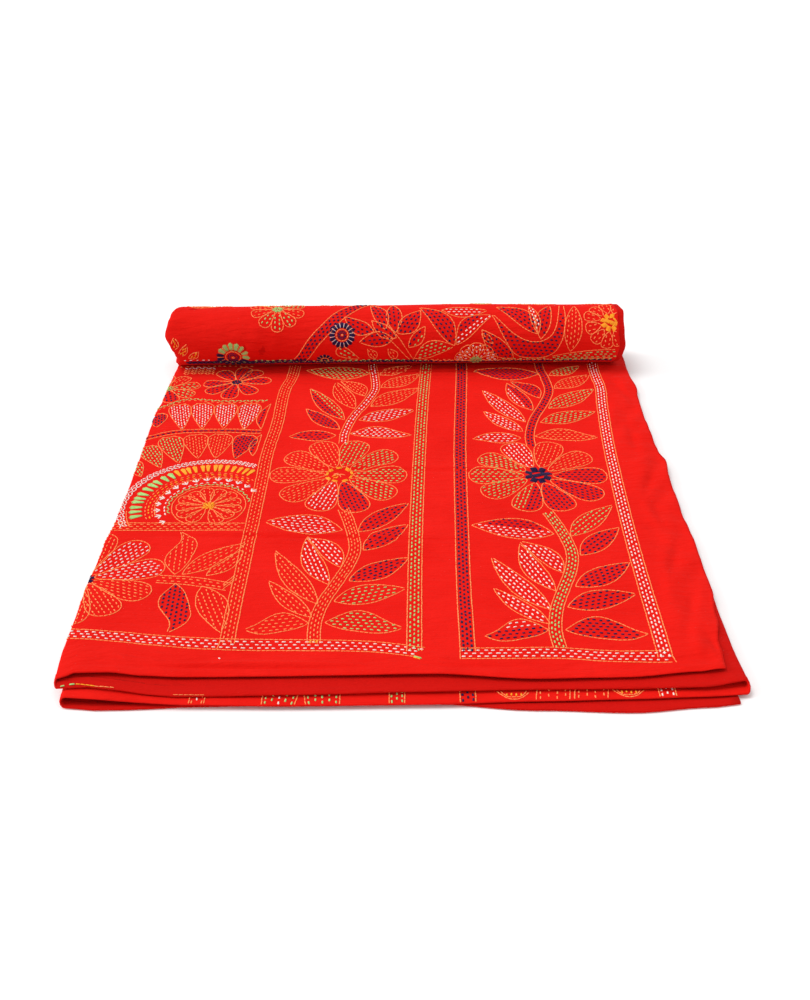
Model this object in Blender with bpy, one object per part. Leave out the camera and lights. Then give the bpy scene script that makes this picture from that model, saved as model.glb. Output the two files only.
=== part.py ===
"""A red kantha quilt, folded to four plies and rolled up from its back end.

The quilt is one cloth. It is folded back and forth across its width, so that four plies lie on each other
with two folds on the left, one fold on the right and all four front hems a little apart. The front of the
stack lies flat, and the rest is wound into a roll that lies on the back of the stack.

Units are metres. +X is to the right, +Y runs from the open front edge to the roll and +Z is up. The
origin is under the middle of the folded quilt, on the surface that it rests on.
"""

import math
from collections import namedtuple

import bmesh
import bpy
from mathutils import Vector

# The cloth
PLY_THICKNESS = 0.0011
HEM_THICKNESS = 0.0019
HEM_DEPTH = 0.009
HEM_STEP = 0.0015
EDGE_THICKNESS = 0.0008

# The stack, from its open front, where "along" is 0, to under the roll
PLY_COUNT = 4
MIDDLE_PITCH = 0.0021
ROLL_PITCH = 0.0012
LOFT_DEPTH = 0.17
PRESS_DEPTH = 0.10
PRESS_FLAT = 0.006

# The roll
ROLL_AXIS_BACK = 0.605
INNER_ROLL_RADIUS = 0.0345
TURN_GAP = 0.0005
BAND_TURNS = 2.0
CORE_OVERLAP = 0.0018
CORE_SHY = 0.0015
CORE_SIDES = 24
BAND_SHY = 0.0001
BAND_OVERLAP = 0.002
END_BULGE = 0.0012
ROLL_WAVE = 0.0006

# How finely the solid is divided
TOP_NODES = 23
INNER_NODES = 9
FOLD_STEPS = 4
FLAT_STATIONS = 24
STATION_EASE = 1.25
STATIONS_A_TURN = 20
BAND_NODES = 13

CLOTH_RED = (0.78, 0.012, 0.010, 1.0)
CLOTH_ROUGHNESS = 0.85

# The open front, from left to right: how far each ply's hem reaches forward, and the height from one ply
# to the next there. Ply 0 is the top one.
Front = namedtuple("Front", "across reach0 reach1 reach2 reach3 pitch0 pitch1 pitch2")
FRONT = (
    Front(-0.290, 0.012, 0.019, 0.027, 0.027, 0.0030, 0.0022, 0.0072),
    Front(-0.262, 0.002, 0.015, 0.028, 0.029, 0.0032, 0.0024, 0.0060),
    Front(-0.190, 0.004, 0.021, 0.031, 0.032, 0.0034, 0.0028, 0.0040),
    Front(-0.090, 0.003, 0.021, 0.032, 0.033, 0.0034, 0.0032, 0.0028),
    Front(0.020, 0.003, 0.020, 0.032, 0.033, 0.0035, 0.0032, 0.0026),
    Front(0.110, 0.011, 0.020, 0.031, 0.040, 0.0037, 0.0032, 0.0027),
    Front(0.190, 0.009, 0.021, 0.030, 0.044, 0.0037, 0.0036, 0.0027),
    Front(0.250, 0.002, 0.022, 0.028, 0.038, 0.0034, 0.0048, 0.0027),
    Front(0.290, 0.000, 0.016, 0.026, 0.032, 0.0028, 0.0062, 0.0026),
)

# The sides, from front to back. On the left are the folds between plies 0 and 1 and plies 2 and 3. On the
# right are the hem of ply 0, the fold between plies 1 and 2, and the hem of ply 3.
Side = namedtuple("Side", "along left0 left2 right0 right1 right3")
SIDES = (
    Side(-0.030, -0.289, -0.281, 0.270, 0.286, 0.271),
    Side(0.050, -0.2935, -0.286, 0.277, 0.282, 0.274),
    Side(0.130, -0.294, -0.288, 0.279, 0.284, 0.277),
    Side(0.240, -0.289, -0.2865, 0.276, 0.283, 0.278),
    Side(0.335, -0.287, -0.285, 0.288, 0.282, 0.276),
    Side(0.375, -0.2865, -0.2845, 0.280, 0.284, 0.277),
    Side(0.460, -0.286, -0.284, 0.278, 0.284, 0.279),
    Side(0.540, -0.287, -0.285, 0.281, 0.286, 0.279),
    Side(0.610, -0.288, -0.286, 0.281, 0.286, 0.280),
)

# The roll's two ends. They lie inside the stack's sides by these depths as the roll turns.
RollEnd = namedtuple("RollEnd", "turn left right")
ROLL_ENDS = (
    RollEnd(0.00, 0.0020, 0.0030),
    RollEnd(0.25, 0.0060, 0.0080),
    RollEnd(0.50, 0.0120, 0.0130),
    RollEnd(0.75, 0.0065, 0.0100),
    RollEnd(1.00, 0.0080, 0.0120),
    RollEnd(1.50, 0.0140, 0.0100),
    RollEnd(2.00, 0.0110, 0.0130),
)

# Long soft creases of the whole stack. "across" and "along" place the middle, "turn" is the angle from
# the front edge, and "length" and "width" are half extents. A negative height is a trough.
Crease = namedtuple("Crease", "across along turn length width height")
CREASES = (
    Crease(-0.110, 0.028, 0.02, 0.15, 0.010, -0.0012),
    Crease(0.100, 0.075, 0.05, 0.15, 0.014, 0.0010),
    Crease(-0.050, 0.196, 0.01, 0.26, 0.015, 0.0014),
    Crease(0.100, 0.328, -0.015, 0.24, 0.015, 0.0013),
    Crease(0.252, 0.100, 1.35, 0.10, 0.013, 0.0018),
    Crease(0.258, 0.330, 1.50, 0.12, 0.012, 0.0016),
    Crease(-0.200, 0.430, 0.10, 0.12, 0.017, 0.0010),
    Crease(0.020, 0.500, -0.02, 0.22, 0.015, 0.0012),
)
SWELL_HEIGHT = 0.0007
SWELL_ACROSS = 21.0
SWELL_ALONG = 17.0


def smooth(share):
    """An even rise from 0 to 1 as share goes from 0 to 1."""
    share = min(1.0, max(0.0, share))
    return share * share * (3.0 - 2.0 * share)


def read(table, key, column, value):
    """The value of one column of a table, eased between the two rows around a key."""
    low, high = table[0], table[-1]
    for before, after in zip(table, table[1:]):
        if getattr(before, key) <= value <= getattr(after, key):
            low, high = before, after
            break
    span = getattr(high, key) - getattr(low, key)
    share = smooth((value - getattr(low, key)) / span)
    return getattr(low, column) + share * (getattr(high, column) - getattr(low, column))


def pressed(along):
    """0 out in the open, 1 where the roll lies on the stack."""
    return smooth((along - ROLL_AXIS_BACK + PRESS_DEPTH) / (PRESS_DEPTH - PRESS_FLAT))


def pitch(ply, across, along):
    """The height from a ply to the one above it, so for ply 1, 2 or 3."""
    front = read(FRONT, "across", "pitch%d" % (ply - 1), across)
    loft_share = 1.0 - smooth(along / LOFT_DEPTH)
    open_pitch = MIDDLE_PITCH + (front - MIDDLE_PITCH) * loft_share
    return open_pitch + (ROLL_PITCH - open_pitch) * pressed(along)


def crease_height(across, along):
    """The height that the creases add at a place."""
    height = 0.0
    for crease in CREASES:
        over = across - crease.across
        beyond = along - crease.along
        cos_turn, sin_turn = math.cos(crease.turn), math.sin(crease.turn)
        lengthwise = (over * cos_turn + beyond * sin_turn) / crease.length
        sideways = (beyond * cos_turn - over * sin_turn) / crease.width
        if abs(lengthwise) < 1.0:
            fade = 1.0 - smooth(abs(lengthwise))
            height += crease.height * fade * math.exp(-sideways * sideways)
    return height


def swell(across, along):
    """The slow rise and fall of the stack's top, which fades out under the roll."""
    wave = math.sin(SWELL_ACROSS * across + 1.1) * math.cos(SWELL_ALONG * along + 0.4)
    return (SWELL_HEIGHT * (1.0 + wave) + crease_height(across, along)) * (1.0 - pressed(along))


def ply_height(ply, across, along):
    """The height of a ply's middle over the floor."""
    height = PLY_THICKNESS / 2.0
    for above in range(PLY_COUNT - 1, ply, -1):
        height += pitch(above, across, along)
    lift = (PLY_COUNT - 1 - ply) / (PLY_COUNT - 1)
    return height + lift * lift * swell(across, along)


def cloth_thickness(from_hem):
    """The cloth's thickness at a distance from its front hem, which is turned in and so thicker."""
    if from_hem <= 0.0:
        return EDGE_THICKNESS
    inner = smooth((from_hem - HEM_DEPTH + HEM_STEP) / HEM_STEP)
    return HEM_THICKNESS + (PLY_THICKNESS - HEM_THICKNESS) * inner


def band_thickness():
    """The thickness of the whole stack in the roll."""
    return PLY_THICKNESS + (PLY_COUNT - 1) * ROLL_PITCH


def roll_radius():
    """The distance from the roll's axis to the floor."""
    return INNER_ROLL_RADIUS + band_thickness()


def wound(across, angle, height):
    """A place in the wound stack, at a height over the face of the stack that lies outermost."""
    shrink = (band_thickness() + TURN_GAP) * angle / (2.0 * math.pi)
    wave = math.sin(13.0 * across + 0.6) + 0.6 * math.sin(29.0 * across + 2.0 * angle)
    swollen = ROLL_WAVE * wave * (1.0 - math.cos(angle)) / 2.0
    radius = roll_radius() - shrink - height + swollen
    back = ROLL_AXIS_BACK + radius * math.sin(angle)
    return Vector((across, back, roll_radius() - radius * math.cos(angle)))


def hem_along(ply, across):
    """Where a ply's front hem lies."""
    return -read(FRONT, "across", "reach%d" % ply, across)


def station_along(front, station):
    """The place along the stack of one cross section. The first four shape the hem."""
    hem_places = (0.0, HEM_STEP, HEM_DEPTH - HEM_STEP, HEM_DEPTH)
    if station < len(hem_places):
        return front + hem_places[station]
    last = ROLL_AXIS_BACK + BAND_OVERLAP
    share = ((station - len(hem_places) + 1) / FLAT_STATIONS) ** STATION_EASE
    start = front + HEM_DEPTH
    return start + share * (last - start)


def ribbon_nodes():
    """The middle line of the four plies, from the top hem to the bottom hem, as small tuples.

    Each is (ply, share of the way from left to right, fold side or None, fold angle).
    """
    nodes = []
    for ply in range(PLY_COUNT):
        count = TOP_NODES if ply == 0 else INNER_NODES
        shares = [i / (count - 1) for i in range(count)]
        if ply % 2 == 0:
            shares.reverse()
        nodes += [(ply, share, None, 0.0) for share in shares]
        if ply < PLY_COUNT - 1:
            side = "left" if ply % 2 == 0 else "right"
            angles = [math.pi * i / FOLD_STEPS for i in range(1, FOLD_STEPS)]
            nodes += [(ply, 0.0, side, angle) for angle in angles]
    return nodes


def side_edges(ply, along):
    """Where a ply starts on the left and ends on the right."""
    left = read(SIDES, "along", "left%d" % (2 * (ply // 2)), along)
    right_column = ("right0", "right1", "right1", "right3")[ply]
    return left, read(SIDES, "along", right_column, along)


def flat_point(ply, share, station, face):
    """A point on a ply's face. Face is 1 for the embroidered face and -1 for the reverse."""
    left, right = side_edges(ply, 0.0)
    front = hem_along(ply, left + share * (right - left))
    along = station_along(front, station)
    left, right = side_edges(ply, along)
    across = left + share * (right - left)
    upward = 1.0 if ply % 2 == 0 else -1.0
    offset = face * upward * cloth_thickness(along - front) / 2.0
    return Vector((across, along, ply_height(ply, across, along) + offset))


def fold_point(ply, side, angle, station, face):
    """A point of the fold that joins a ply to the one below it."""
    turned = (1.0 - math.cos(angle)) / 2.0
    edge = side_edges(ply, 0.0)[0 if side == "left" else 1]
    front = hem_along(ply, edge) * (1.0 - turned) + hem_along(ply + 1, edge) * turned
    along = station_along(front, station)
    edge = side_edges(ply, along)[0 if side == "left" else 1]
    upper = ply_height(ply, edge, along)
    lower = ply_height(ply + 1, edge, along)
    outward = -1.0 if side == "left" else 1.0
    facing = 1.0 if side == "left" else -1.0
    radius = (upper - lower + face * facing * cloth_thickness(along - front)) / 2.0
    across = edge + outward * radius * math.sin(angle)
    return Vector((across, along, (upper + lower) / 2.0 + radius * math.cos(angle)))


def ribbon_point(node, station, face):
    ply, share, side, angle = node
    if side is None:
        return flat_point(ply, share, station, face)
    return fold_point(ply, side, angle, station, face)


def ring_faces(mesh, rings):
    """Joins each ring of points to the next by a band of faces, and returns the rings' vertices."""
    rows = [[mesh.verts.new(point) for point in ring] for ring in rings]
    count = len(rows[0])
    for near, far in zip(rows, rows[1:]):
        for i in range(count):
            following = (i + 1) % count
            mesh.faces.new((near[i], near[following], far[following], far[i]))
    return rows


def finished_object(name, mesh):
    """An object from a bmesh, with all its faces turned outwards."""
    bmesh.ops.recalc_face_normals(mesh, faces=mesh.faces)
    data = bpy.data.meshes.new(name)
    mesh.to_mesh(data)
    mesh.free()
    return bpy.data.objects.new(name, data)


def flat_stack():
    """The four plies folded back and forth, from the front hems to under the roll."""
    nodes = ribbon_nodes()
    rings = []
    for station in range(FLAT_STATIONS + 4):
        embroidered = [ribbon_point(node, station, 1.0) for node in nodes]
        reverse = [ribbon_point(node, station, -1.0) for node in reversed(nodes)]
        rings.append(embroidered + reverse)
    mesh = bmesh.new()
    rows = ring_faces(mesh, rings)
    for row in (rows[0], rows[-1]):
        for i in range(len(nodes) - 1):
            mesh.faces.new((row[i], row[i + 1], row[-2 - i], row[-1 - i]))
    return finished_object("flat_stack", mesh)


def band_sides(turns):
    """Where the wound stack starts on the left and ends on the right."""
    left = side_edges(0, ROLL_AXIS_BACK)[0] + read(ROLL_ENDS, "turn", "left", turns)
    right = side_edges(1, ROLL_AXIS_BACK)[1] - read(ROLL_ENDS, "turn", "right", turns)
    return left, right


def band_ring(angle):
    """The outline of the whole stack, all plies in one, where it has turned by angle."""
    left, right = band_sides(angle / (2.0 * math.pi))
    shares = [i / (BAND_NODES - 1) for i in range(BAND_NODES)]
    outer, inner = BAND_SHY, band_thickness() - BAND_SHY
    middle = (outer + inner) / 2.0
    out_row = [wound(left + share * (right - left), angle, outer) for share in shares]
    in_row = [wound(left + share * (right - left), angle, inner) for share in reversed(shares)]
    right_end = wound(right + END_BULGE, angle, middle)
    left_end = wound(left - END_BULGE, angle, middle)
    return [left_end] + out_row + [right_end] + in_row


def wound_band():
    """The first turns of the roll, in which the stack is wound up as one thick band."""
    steps = round(BAND_TURNS * STATIONS_A_TURN)
    rings = [band_ring(2.0 * math.pi * BAND_TURNS * i / steps) for i in range(steps + 1)]
    rings.insert(0, [point - Vector((0.0, BAND_OVERLAP, 0.0)) for point in rings[0]])
    mesh = bmesh.new()
    rows = ring_faces(mesh, rings)
    for row in (rows[0], rows[-1]):
        mesh.faces.new((row[0], row[1], row[-1]))
        mesh.faces.new((row[BAND_NODES], row[BAND_NODES + 1], row[BAND_NODES + 2]))
        for i in range(1, BAND_NODES):
            mesh.faces.new((row[i], row[i + 1], row[-1 - i], row[-i]))
    return finished_object("quilt", mesh)


def roll_core():
    """The middle of the roll. Its finer turns lie too close together for a solid, so it is one cylinder."""
    left, right = band_sides(BAND_TURNS)
    shrink = (band_thickness() + TURN_GAP) * BAND_TURNS
    radius = roll_radius() - shrink - band_thickness() + CORE_OVERLAP
    bpy.ops.mesh.primitive_cylinder_add(
        vertices=CORE_SIDES,
        radius=radius,
        depth=right - left - 2.0 * CORE_SHY,
        location=((left + right) / 2.0, ROLL_AXIS_BACK, roll_radius()),
        rotation=(0.0, math.pi / 2.0, 0.0),
    )
    core = bpy.context.object
    core.name = "roll_core"
    bpy.context.collection.objects.unlink(core)
    return core


def keep_as_helper(obj, collection):
    """Leaves a piece that only feeds the union out of the render."""
    collection.objects.link(obj)
    obj.hide_render = True
    obj.display_type = "WIRE"


def cloth_material():
    material = bpy.data.materials.new("quilt_cloth")
    material.use_nodes = True
    shader = material.node_tree.nodes["Principled BSDF"]
    shader.inputs["Base Color"].default_value = CLOTH_RED
    shader.inputs["Roughness"].default_value = CLOTH_ROUGHNESS
    shader.inputs["Metallic"].default_value = 0.0
    return material


def centre_on_origin(mesh):
    """Moves the mesh so that its box is centred over the origin."""
    across = [vertex.co.x for vertex in mesh.vertices]
    along = [vertex.co.y for vertex in mesh.vertices]
    middle = Vector(((min(across) + max(across)) / 2.0, (min(along) + max(along)) / 2.0, 0.0))
    for vertex in mesh.vertices:
        vertex.co -= middle


def main():
    for obj in list(bpy.data.objects):
        bpy.data.objects.remove(obj)
    model = bpy.data.collections.new("kantha_quilt")
    helpers = bpy.data.collections.new("joined_pieces")
    bpy.context.scene.collection.children.link(model)
    bpy.context.scene.collection.children.link(helpers)

    quilt = wound_band()
    model.objects.link(quilt)
    for piece in (roll_core(), flat_stack()):
        keep_as_helper(piece, helpers)
        union = quilt.modifiers.new("join_" + piece.name, "BOOLEAN")
        union.operation = "UNION"
        union.object = piece
    bpy.context.view_layer.update()
    joined = quilt.evaluated_get(bpy.context.evaluated_depsgraph_get())
    mesh = bpy.data.meshes.new_from_object(joined)
    quilt.modifiers.clear()
    quilt.data = mesh
    centre_on_origin(mesh)
    mesh.materials.clear()
    mesh.materials.append(cloth_material())


main()
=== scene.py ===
"""Dresses the folded kantha quilt: its cloth on every fold and turn, and its embroidery, stitch by stitch.

Units are metres in the model's own frame: +X is to the right, +Y runs from the open front edge to the
roll and +Z is up. "Across" and "along" are measured on the folded stack as its solid has them. "Along" is
0 at the nominal front edge.
"""

import logging
import math
from dataclasses import dataclass, field
from enum import Enum

import bpy
import numpy as np
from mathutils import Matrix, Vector


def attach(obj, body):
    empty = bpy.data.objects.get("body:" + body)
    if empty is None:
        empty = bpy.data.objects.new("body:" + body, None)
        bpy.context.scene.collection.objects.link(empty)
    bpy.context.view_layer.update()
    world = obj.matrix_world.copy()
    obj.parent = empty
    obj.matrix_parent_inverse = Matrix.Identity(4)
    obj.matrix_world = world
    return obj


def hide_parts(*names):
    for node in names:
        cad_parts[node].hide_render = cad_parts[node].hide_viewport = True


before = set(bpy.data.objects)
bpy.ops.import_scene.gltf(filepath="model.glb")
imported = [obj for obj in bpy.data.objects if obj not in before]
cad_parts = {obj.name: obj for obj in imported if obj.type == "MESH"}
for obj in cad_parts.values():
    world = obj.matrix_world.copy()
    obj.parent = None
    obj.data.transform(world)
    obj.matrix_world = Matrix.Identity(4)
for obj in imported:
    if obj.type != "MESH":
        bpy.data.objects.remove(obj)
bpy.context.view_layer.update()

logging.basicConfig(level=logging.INFO, format="%(message)s")
LOG = logging.getLogger("kantha_quilt")

Table = tuple[tuple[float, ...], ...]
Point = tuple[float, float]


class Thread(Enum):
    """The embroidery threads, by the material slot that each takes its finish from."""

    ORANGE = "thread_orange"
    WHITE = "thread_white"
    NAVY = "thread_navy"
    GREEN = "thread_green"
    GOLD = "thread_gold"


def smooth(share: np.ndarray) -> np.ndarray:
    """An even rise from 0 to 1 as share goes from 0 to 1."""
    share = np.clip(share, 0.0, 1.0)
    return share * share * (3.0 - 2.0 * share)


def eased(table: Table, column: int, at: np.ndarray) -> np.ndarray:
    """Reads one column of a table, eased between the two rows around each key.

    Args:
        table: Rows whose first number is the key.
        column: The column to read.
        at: The keys to read it at.

    Returns:
        The values, held at the first and last row outside the table.
    """
    keys = np.array([row[0] for row in table])
    values = np.array([row[column] for row in table])
    at = np.clip(np.asarray(at, dtype=float), keys[0], keys[-1])
    row = np.clip(np.searchsorted(keys, at, side="right") - 1, 0, len(keys) - 2)
    share = smooth((at - keys[row]) / (keys[row + 1] - keys[row]))
    return values[row] + share * (values[row + 1] - values[row])


@dataclass(frozen=True)
class Lay:
    """How the quilt lies: four plies folded back and forth, and rolled up from the back."""

    thickness: float = 0.0011
    hem_thickness: float = 0.0019
    hem_depth: float = 0.009
    hem_step: float = 0.0015
    edge_thickness: float = 0.0008
    plies: int = 4
    middle_pitch: float = 0.0021
    roll_pitch: float = 0.00115
    turn_gap: float = 0.00008
    loft_depth: float = 0.17
    press_depth: float = 0.10
    press_flat: float = 0.006
    roll_axis: float = 0.605
    roll_radius: float = 0.0392
    turns: float = 6.8
    roll_wave: float = 0.0006
    centre: Point = (-0.002835, 0.299913)
    front: Table = (
        (-0.290, 0.011, 0.019, 0.027, 0.0290, 0.0030, 0.0022, 0.0078),
        (-0.276, 0.004, 0.016, 0.0275, 0.0330, 0.0031, 0.0023, 0.0080),
        (-0.250, 0.0025, 0.0185, 0.0290, 0.0345, 0.0032, 0.0024, 0.0068),
        (-0.220, 0.0045, 0.0235, 0.0310, 0.0335, 0.0033, 0.0026, 0.0046),
        (-0.190, 0.0055, 0.0260, 0.0330, 0.0315, 0.0034, 0.0028, 0.0036),
        (-0.090, 0.0050, 0.0245, 0.0350, 0.0305, 0.0034, 0.0032, 0.0028),
        (0.020, 0.0050, 0.0225, 0.0345, 0.0310, 0.0035, 0.0032, 0.0026),
        (0.110, 0.0120, 0.0210, 0.0320, 0.0400, 0.0037, 0.0032, 0.0027),
        (0.190, 0.0110, 0.0215, 0.0305, 0.0440, 0.0037, 0.0036, 0.0027),
        (0.250, 0.0065, 0.0220, 0.0285, 0.0385, 0.0034, 0.0048, 0.0027),
        (0.290, 0.0025, 0.0160, 0.0260, 0.0335, 0.0028, 0.0062, 0.0026),
    )
    sides: Table = (
        (-0.030, -0.289, -0.281, 0.2700, 0.2860, 0.2790),
        (0.030, -0.2915, -0.285, 0.2745, 0.2830, 0.2780),
        (0.070, -0.2915, -0.286, 0.2815, 0.2835, 0.2760),
        (0.115, -0.2925, -0.288, 0.2868, 0.2850, 0.2770),
        (0.200, -0.2895, -0.2865, 0.2878, 0.2835, 0.2780),
        (0.240, -0.2855, -0.2830, 0.2860, 0.2830, 0.2780),
        (0.316, -0.2822, -0.2800, 0.2862, 0.2820, 0.2770),
        (0.347, -0.2815, -0.2795, 0.2896, 0.2820, 0.2765),
        (0.367, -0.2810, -0.2790, 0.2848, 0.2830, 0.2770),
        (0.406, -0.2806, -0.2785, 0.2841, 0.2830, 0.2770),
        (0.465, -0.2800, -0.2778, 0.2836, 0.2815, 0.2780),
        (0.500, -0.2765, -0.2745, 0.2855, 0.2825, 0.2780),
        (0.519, -0.2756, -0.2736, 0.2878, 0.2830, 0.2790),
        (0.559, -0.2740, -0.2720, 0.2852, 0.2840, 0.2790),
        (0.610, -0.2720, -0.2700, 0.2840, 0.2860, 0.2800),
    )
    roll_ends: Table = (
        (0, 0.0000, 0.0000),
        (0.22, -0.0040, 0.0090),
        (0.43, 0.0072, 0.0145),
        (0.54, -0.0033, 0.0092),
        (0.6, -0.0058, 0.0100),
        (0.675, -0.0090, 0.0094),
        (0.75, -0.0028, 0.0074),
        (0.81, 0.0037, 0.0090),
        (0.9, -0.0008, 0.0120),
        (1, -0.0038, 0.0120),
        (1.22, -0.0008, 0.0120),
        (1.45, 0.0102, 0.0165),
        (1.7, -0.0018, 0.0125),
        (2, 0.0022, 0.0150),
        (2.7, 0.0007, 0.0125),
        (3.4, 0.0057, 0.0175),
        (4.2, 0.0017, 0.0145),
        (5.1, 0.0067, 0.0185),
        (6, 0.0032, 0.0155),
        (7, 0.0052, 0.0180),
    )
    creases: Table = (
        (-0.110, 0.028, 0.020, 0.15, 0.010, -0.0012),
        (0.100, 0.075, 0.050, 0.15, 0.014, 0.0010),
        (-0.050, 0.196, 0.010, 0.26, 0.015, 0.0014),
        (0.100, 0.328, -0.015, 0.24, 0.015, 0.0013),
        (0.252, 0.100, 1.350, 0.10, 0.013, 0.0018),
        (0.258, 0.330, 1.500, 0.12, 0.012, 0.0016),
        (-0.200, 0.430, 0.100, 0.12, 0.017, 0.0010),
        (0.020, 0.500, -0.020, 0.22, 0.015, 0.0012),
    )
    fine_creases: Table = (
        (-0.130, 0.0060, -0.012, 0.125, 0.0018, -0.0023),
        (-0.130, 0.0102, -0.008, 0.118, 0.0036, 0.0024),
        (-0.130, 0.0022, -0.012, 0.110, 0.0028, 0.0008),
        (0.070, 0.0045, -0.012, 0.085, 0.0030, -0.0012),
        (-0.100, 0.2045, -0.047, 0.230, 0.0029, -0.0018),
        (-0.100, 0.2112, -0.047, 0.210, 0.0045, 0.0013),
        (0.020, 0.3300, -0.035, 0.250, 0.0031, -0.0017),
        (0.020, 0.3370, -0.035, 0.230, 0.0045, 0.0011),
        (0.030, 0.5660, 0.000, 0.140, 0.0034, 0.0019),
        (0.030, 0.5708, 0.000, 0.140, 0.0019, -0.0012),
        (0.030, 0.5765, 0.000, 0.140, 0.0034, 0.0019),
        (-0.190, 0.0800, 0.030, 0.070, 0.0045, -0.0005),
        (-0.215, 0.2870, 0.020, 0.080, 0.0040, -0.0006),
        (0.030, 0.1200, 0.060, 0.060, 0.0045, -0.0005),
        (0.271, 0.0240, 1.760, 0.034, 0.0038, -0.0019),
        (0.256, 0.0380, 1.500, 0.045, 0.0048, 0.0013),
        (0.262, 0.0850, 1.250, 0.050, 0.0045, -0.0017),
        (0.248, 0.1300, 1.450, 0.070, 0.0050, 0.0015),
        (0.265, 0.1750, 1.300, 0.050, 0.0045, -0.0015),
        (0.255, 0.2350, 1.680, 0.060, 0.0048, 0.0015),
        (0.262, 0.3000, 1.250, 0.050, 0.0045, -0.0017),
        (0.268, 0.3500, 0.700, 0.028, 0.0045, 0.0016),
        (0.262, 0.4000, 1.550, 0.070, 0.0045, -0.0014),
        (0.252, 0.4700, 1.350, 0.060, 0.0050, 0.0014),
        (0.268, 0.5200, 1.800, 0.050, 0.0045, -0.0014),
        (0.235, 0.0090, 0.120, 0.050, 0.0040, -0.0011),
        (-0.255, 0.5500, 0.450, 0.050, 0.0050, 0.0013),
        (-0.240, 0.5380, 0.400, 0.050, 0.0045, -0.0012),
        (0.150, 0.5560, -0.050, 0.120, 0.0050, 0.0008),
    )

    margin_waves: Table = ((0.0007, 150.0, 60.0, 2.0, 31.0), (0.0006, 88.0, -230.0, 1.6, 43.0))

    def pressed(self, along: np.ndarray) -> np.ndarray:
        """0 out in the open, 1 where the roll lies on the stack."""
        return smooth((along - self.roll_axis + self.press_depth) / (self.press_depth - self.press_flat))

    def pitch(self, ply: int, across: np.ndarray, along: np.ndarray) -> np.ndarray:
        """Gives the height from a ply to the one above it.

        Args:
            ply: 1, 2 or 3, counted from the top ply, which is 0.
            across: Where, across the stack.
            along: Where, along the stack.

        Returns:
            The heights.
        """
        front = eased(self.front, 4 + ply, across)
        loft = 1.0 - smooth(along / self.loft_depth)
        opened = self.middle_pitch + (front - self.middle_pitch) * loft
        return opened + (self.roll_pitch - opened) * self.pressed(along)

    def crease_height(self, table: Table, across: np.ndarray, along: np.ndarray) -> np.ndarray:
        """Adds up the creases of one table.

        Args:
            table: Rows of across, along, turn, half length, half width and height.
            across: Where, across the stack.
            along: Where, along the stack.

        Returns:
            The height that they add.
        """
        height = np.zeros(np.broadcast(across, along).shape)
        for over0, along0, turn, length, width, rise in table:
            over, beyond = across - over0, along - along0
            lengthwise = np.abs(over * math.cos(turn) + beyond * math.sin(turn)) / length
            sideways = (beyond * math.cos(turn) - over * math.sin(turn)) / width
            height = height + rise * (1.0 - smooth(lengthwise)) * np.exp(-sideways * sideways)
        return height

    def swell(self, across: np.ndarray, along: np.ndarray) -> np.ndarray:
        """The slow rise and fall of the stack's top, which fades out under the roll."""
        wave = np.sin(21.0 * across + 1.1) * np.cos(17.0 * along + 0.4)
        creased = self.crease_height(self.creases, across, along)
        return (0.0007 * (1.0 + wave) + creased) * (1.0 - self.pressed(along))

    def rumple(self, across: np.ndarray, along: np.ndarray) -> np.ndarray:
        """Gives the top ply's own small creases and ripples, which the solid leaves out.

        Args:
            across: Where, across the stack.
            along: Where, along the stack.

        Returns:
            The height that they add.
        """
        height = self.crease_height(self.fine_creases, across, along)
        margin = smooth((across - 0.232) / 0.035)
        for rise, onward, aside, strength, sway in self.margin_waves:
            wave = np.sin(onward * along + aside * across + strength * np.sin(sway * along))
            height = height + margin * rise * wave
        ripple = np.sin(290.0 * along + 5.0 * np.sin(19.0 * across)) * np.sin(33.0 * across + 40.0 * along)
        height = height + 0.00018 * ripple
        return height * (1.0 - smooth((along - 0.582) / 0.018))

    def height(self, ply: int, across: np.ndarray, along: np.ndarray) -> np.ndarray:
        """Gives the height of a ply's middle over the floor.

        Args:
            ply: The ply, counted from the top one, which is 0.
            across: Where, across the stack.
            along: Where, along the stack.

        Returns:
            The heights.
        """
        height = self.thickness / 2.0
        for above in range(self.plies - 1, ply, -1):
            height = height + self.pitch(above, across, along)
        lift = (self.plies - 1 - ply) / (self.plies - 1)
        height = height + lift * lift * self.swell(across, along)
        if ply == 0:
            height = height + self.rumple(across, along)
        return height

    def hem(self, ply: int, across: np.ndarray) -> np.ndarray:
        """Where a ply's front hem lies."""
        return -eased(self.front, 1 + ply, across)

    def edges(self, ply: int, along: np.ndarray) -> tuple[np.ndarray, np.ndarray]:
        """Where a ply starts on the left and ends on the right."""
        left = eased(self.sides, 1 + ply // 2, along)
        return left, eased(self.sides, (3, 4, 4, 5)[ply], along)

    def cloth(self, from_hem: np.ndarray) -> np.ndarray:
        """The cloth's thickness at a distance from its front hem, which is turned in and so thicker."""
        inner = smooth((from_hem - self.hem_depth + self.hem_step) / self.hem_step)
        thick = self.hem_thickness + (self.thickness - self.hem_thickness) * inner
        return np.where(from_hem <= 0.0, self.edge_thickness, thick)

    def turn_pitch(self) -> float:
        """How far the roll tightens in one turn."""
        return self.thickness + (self.plies - 1) * self.roll_pitch + self.turn_gap

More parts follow.
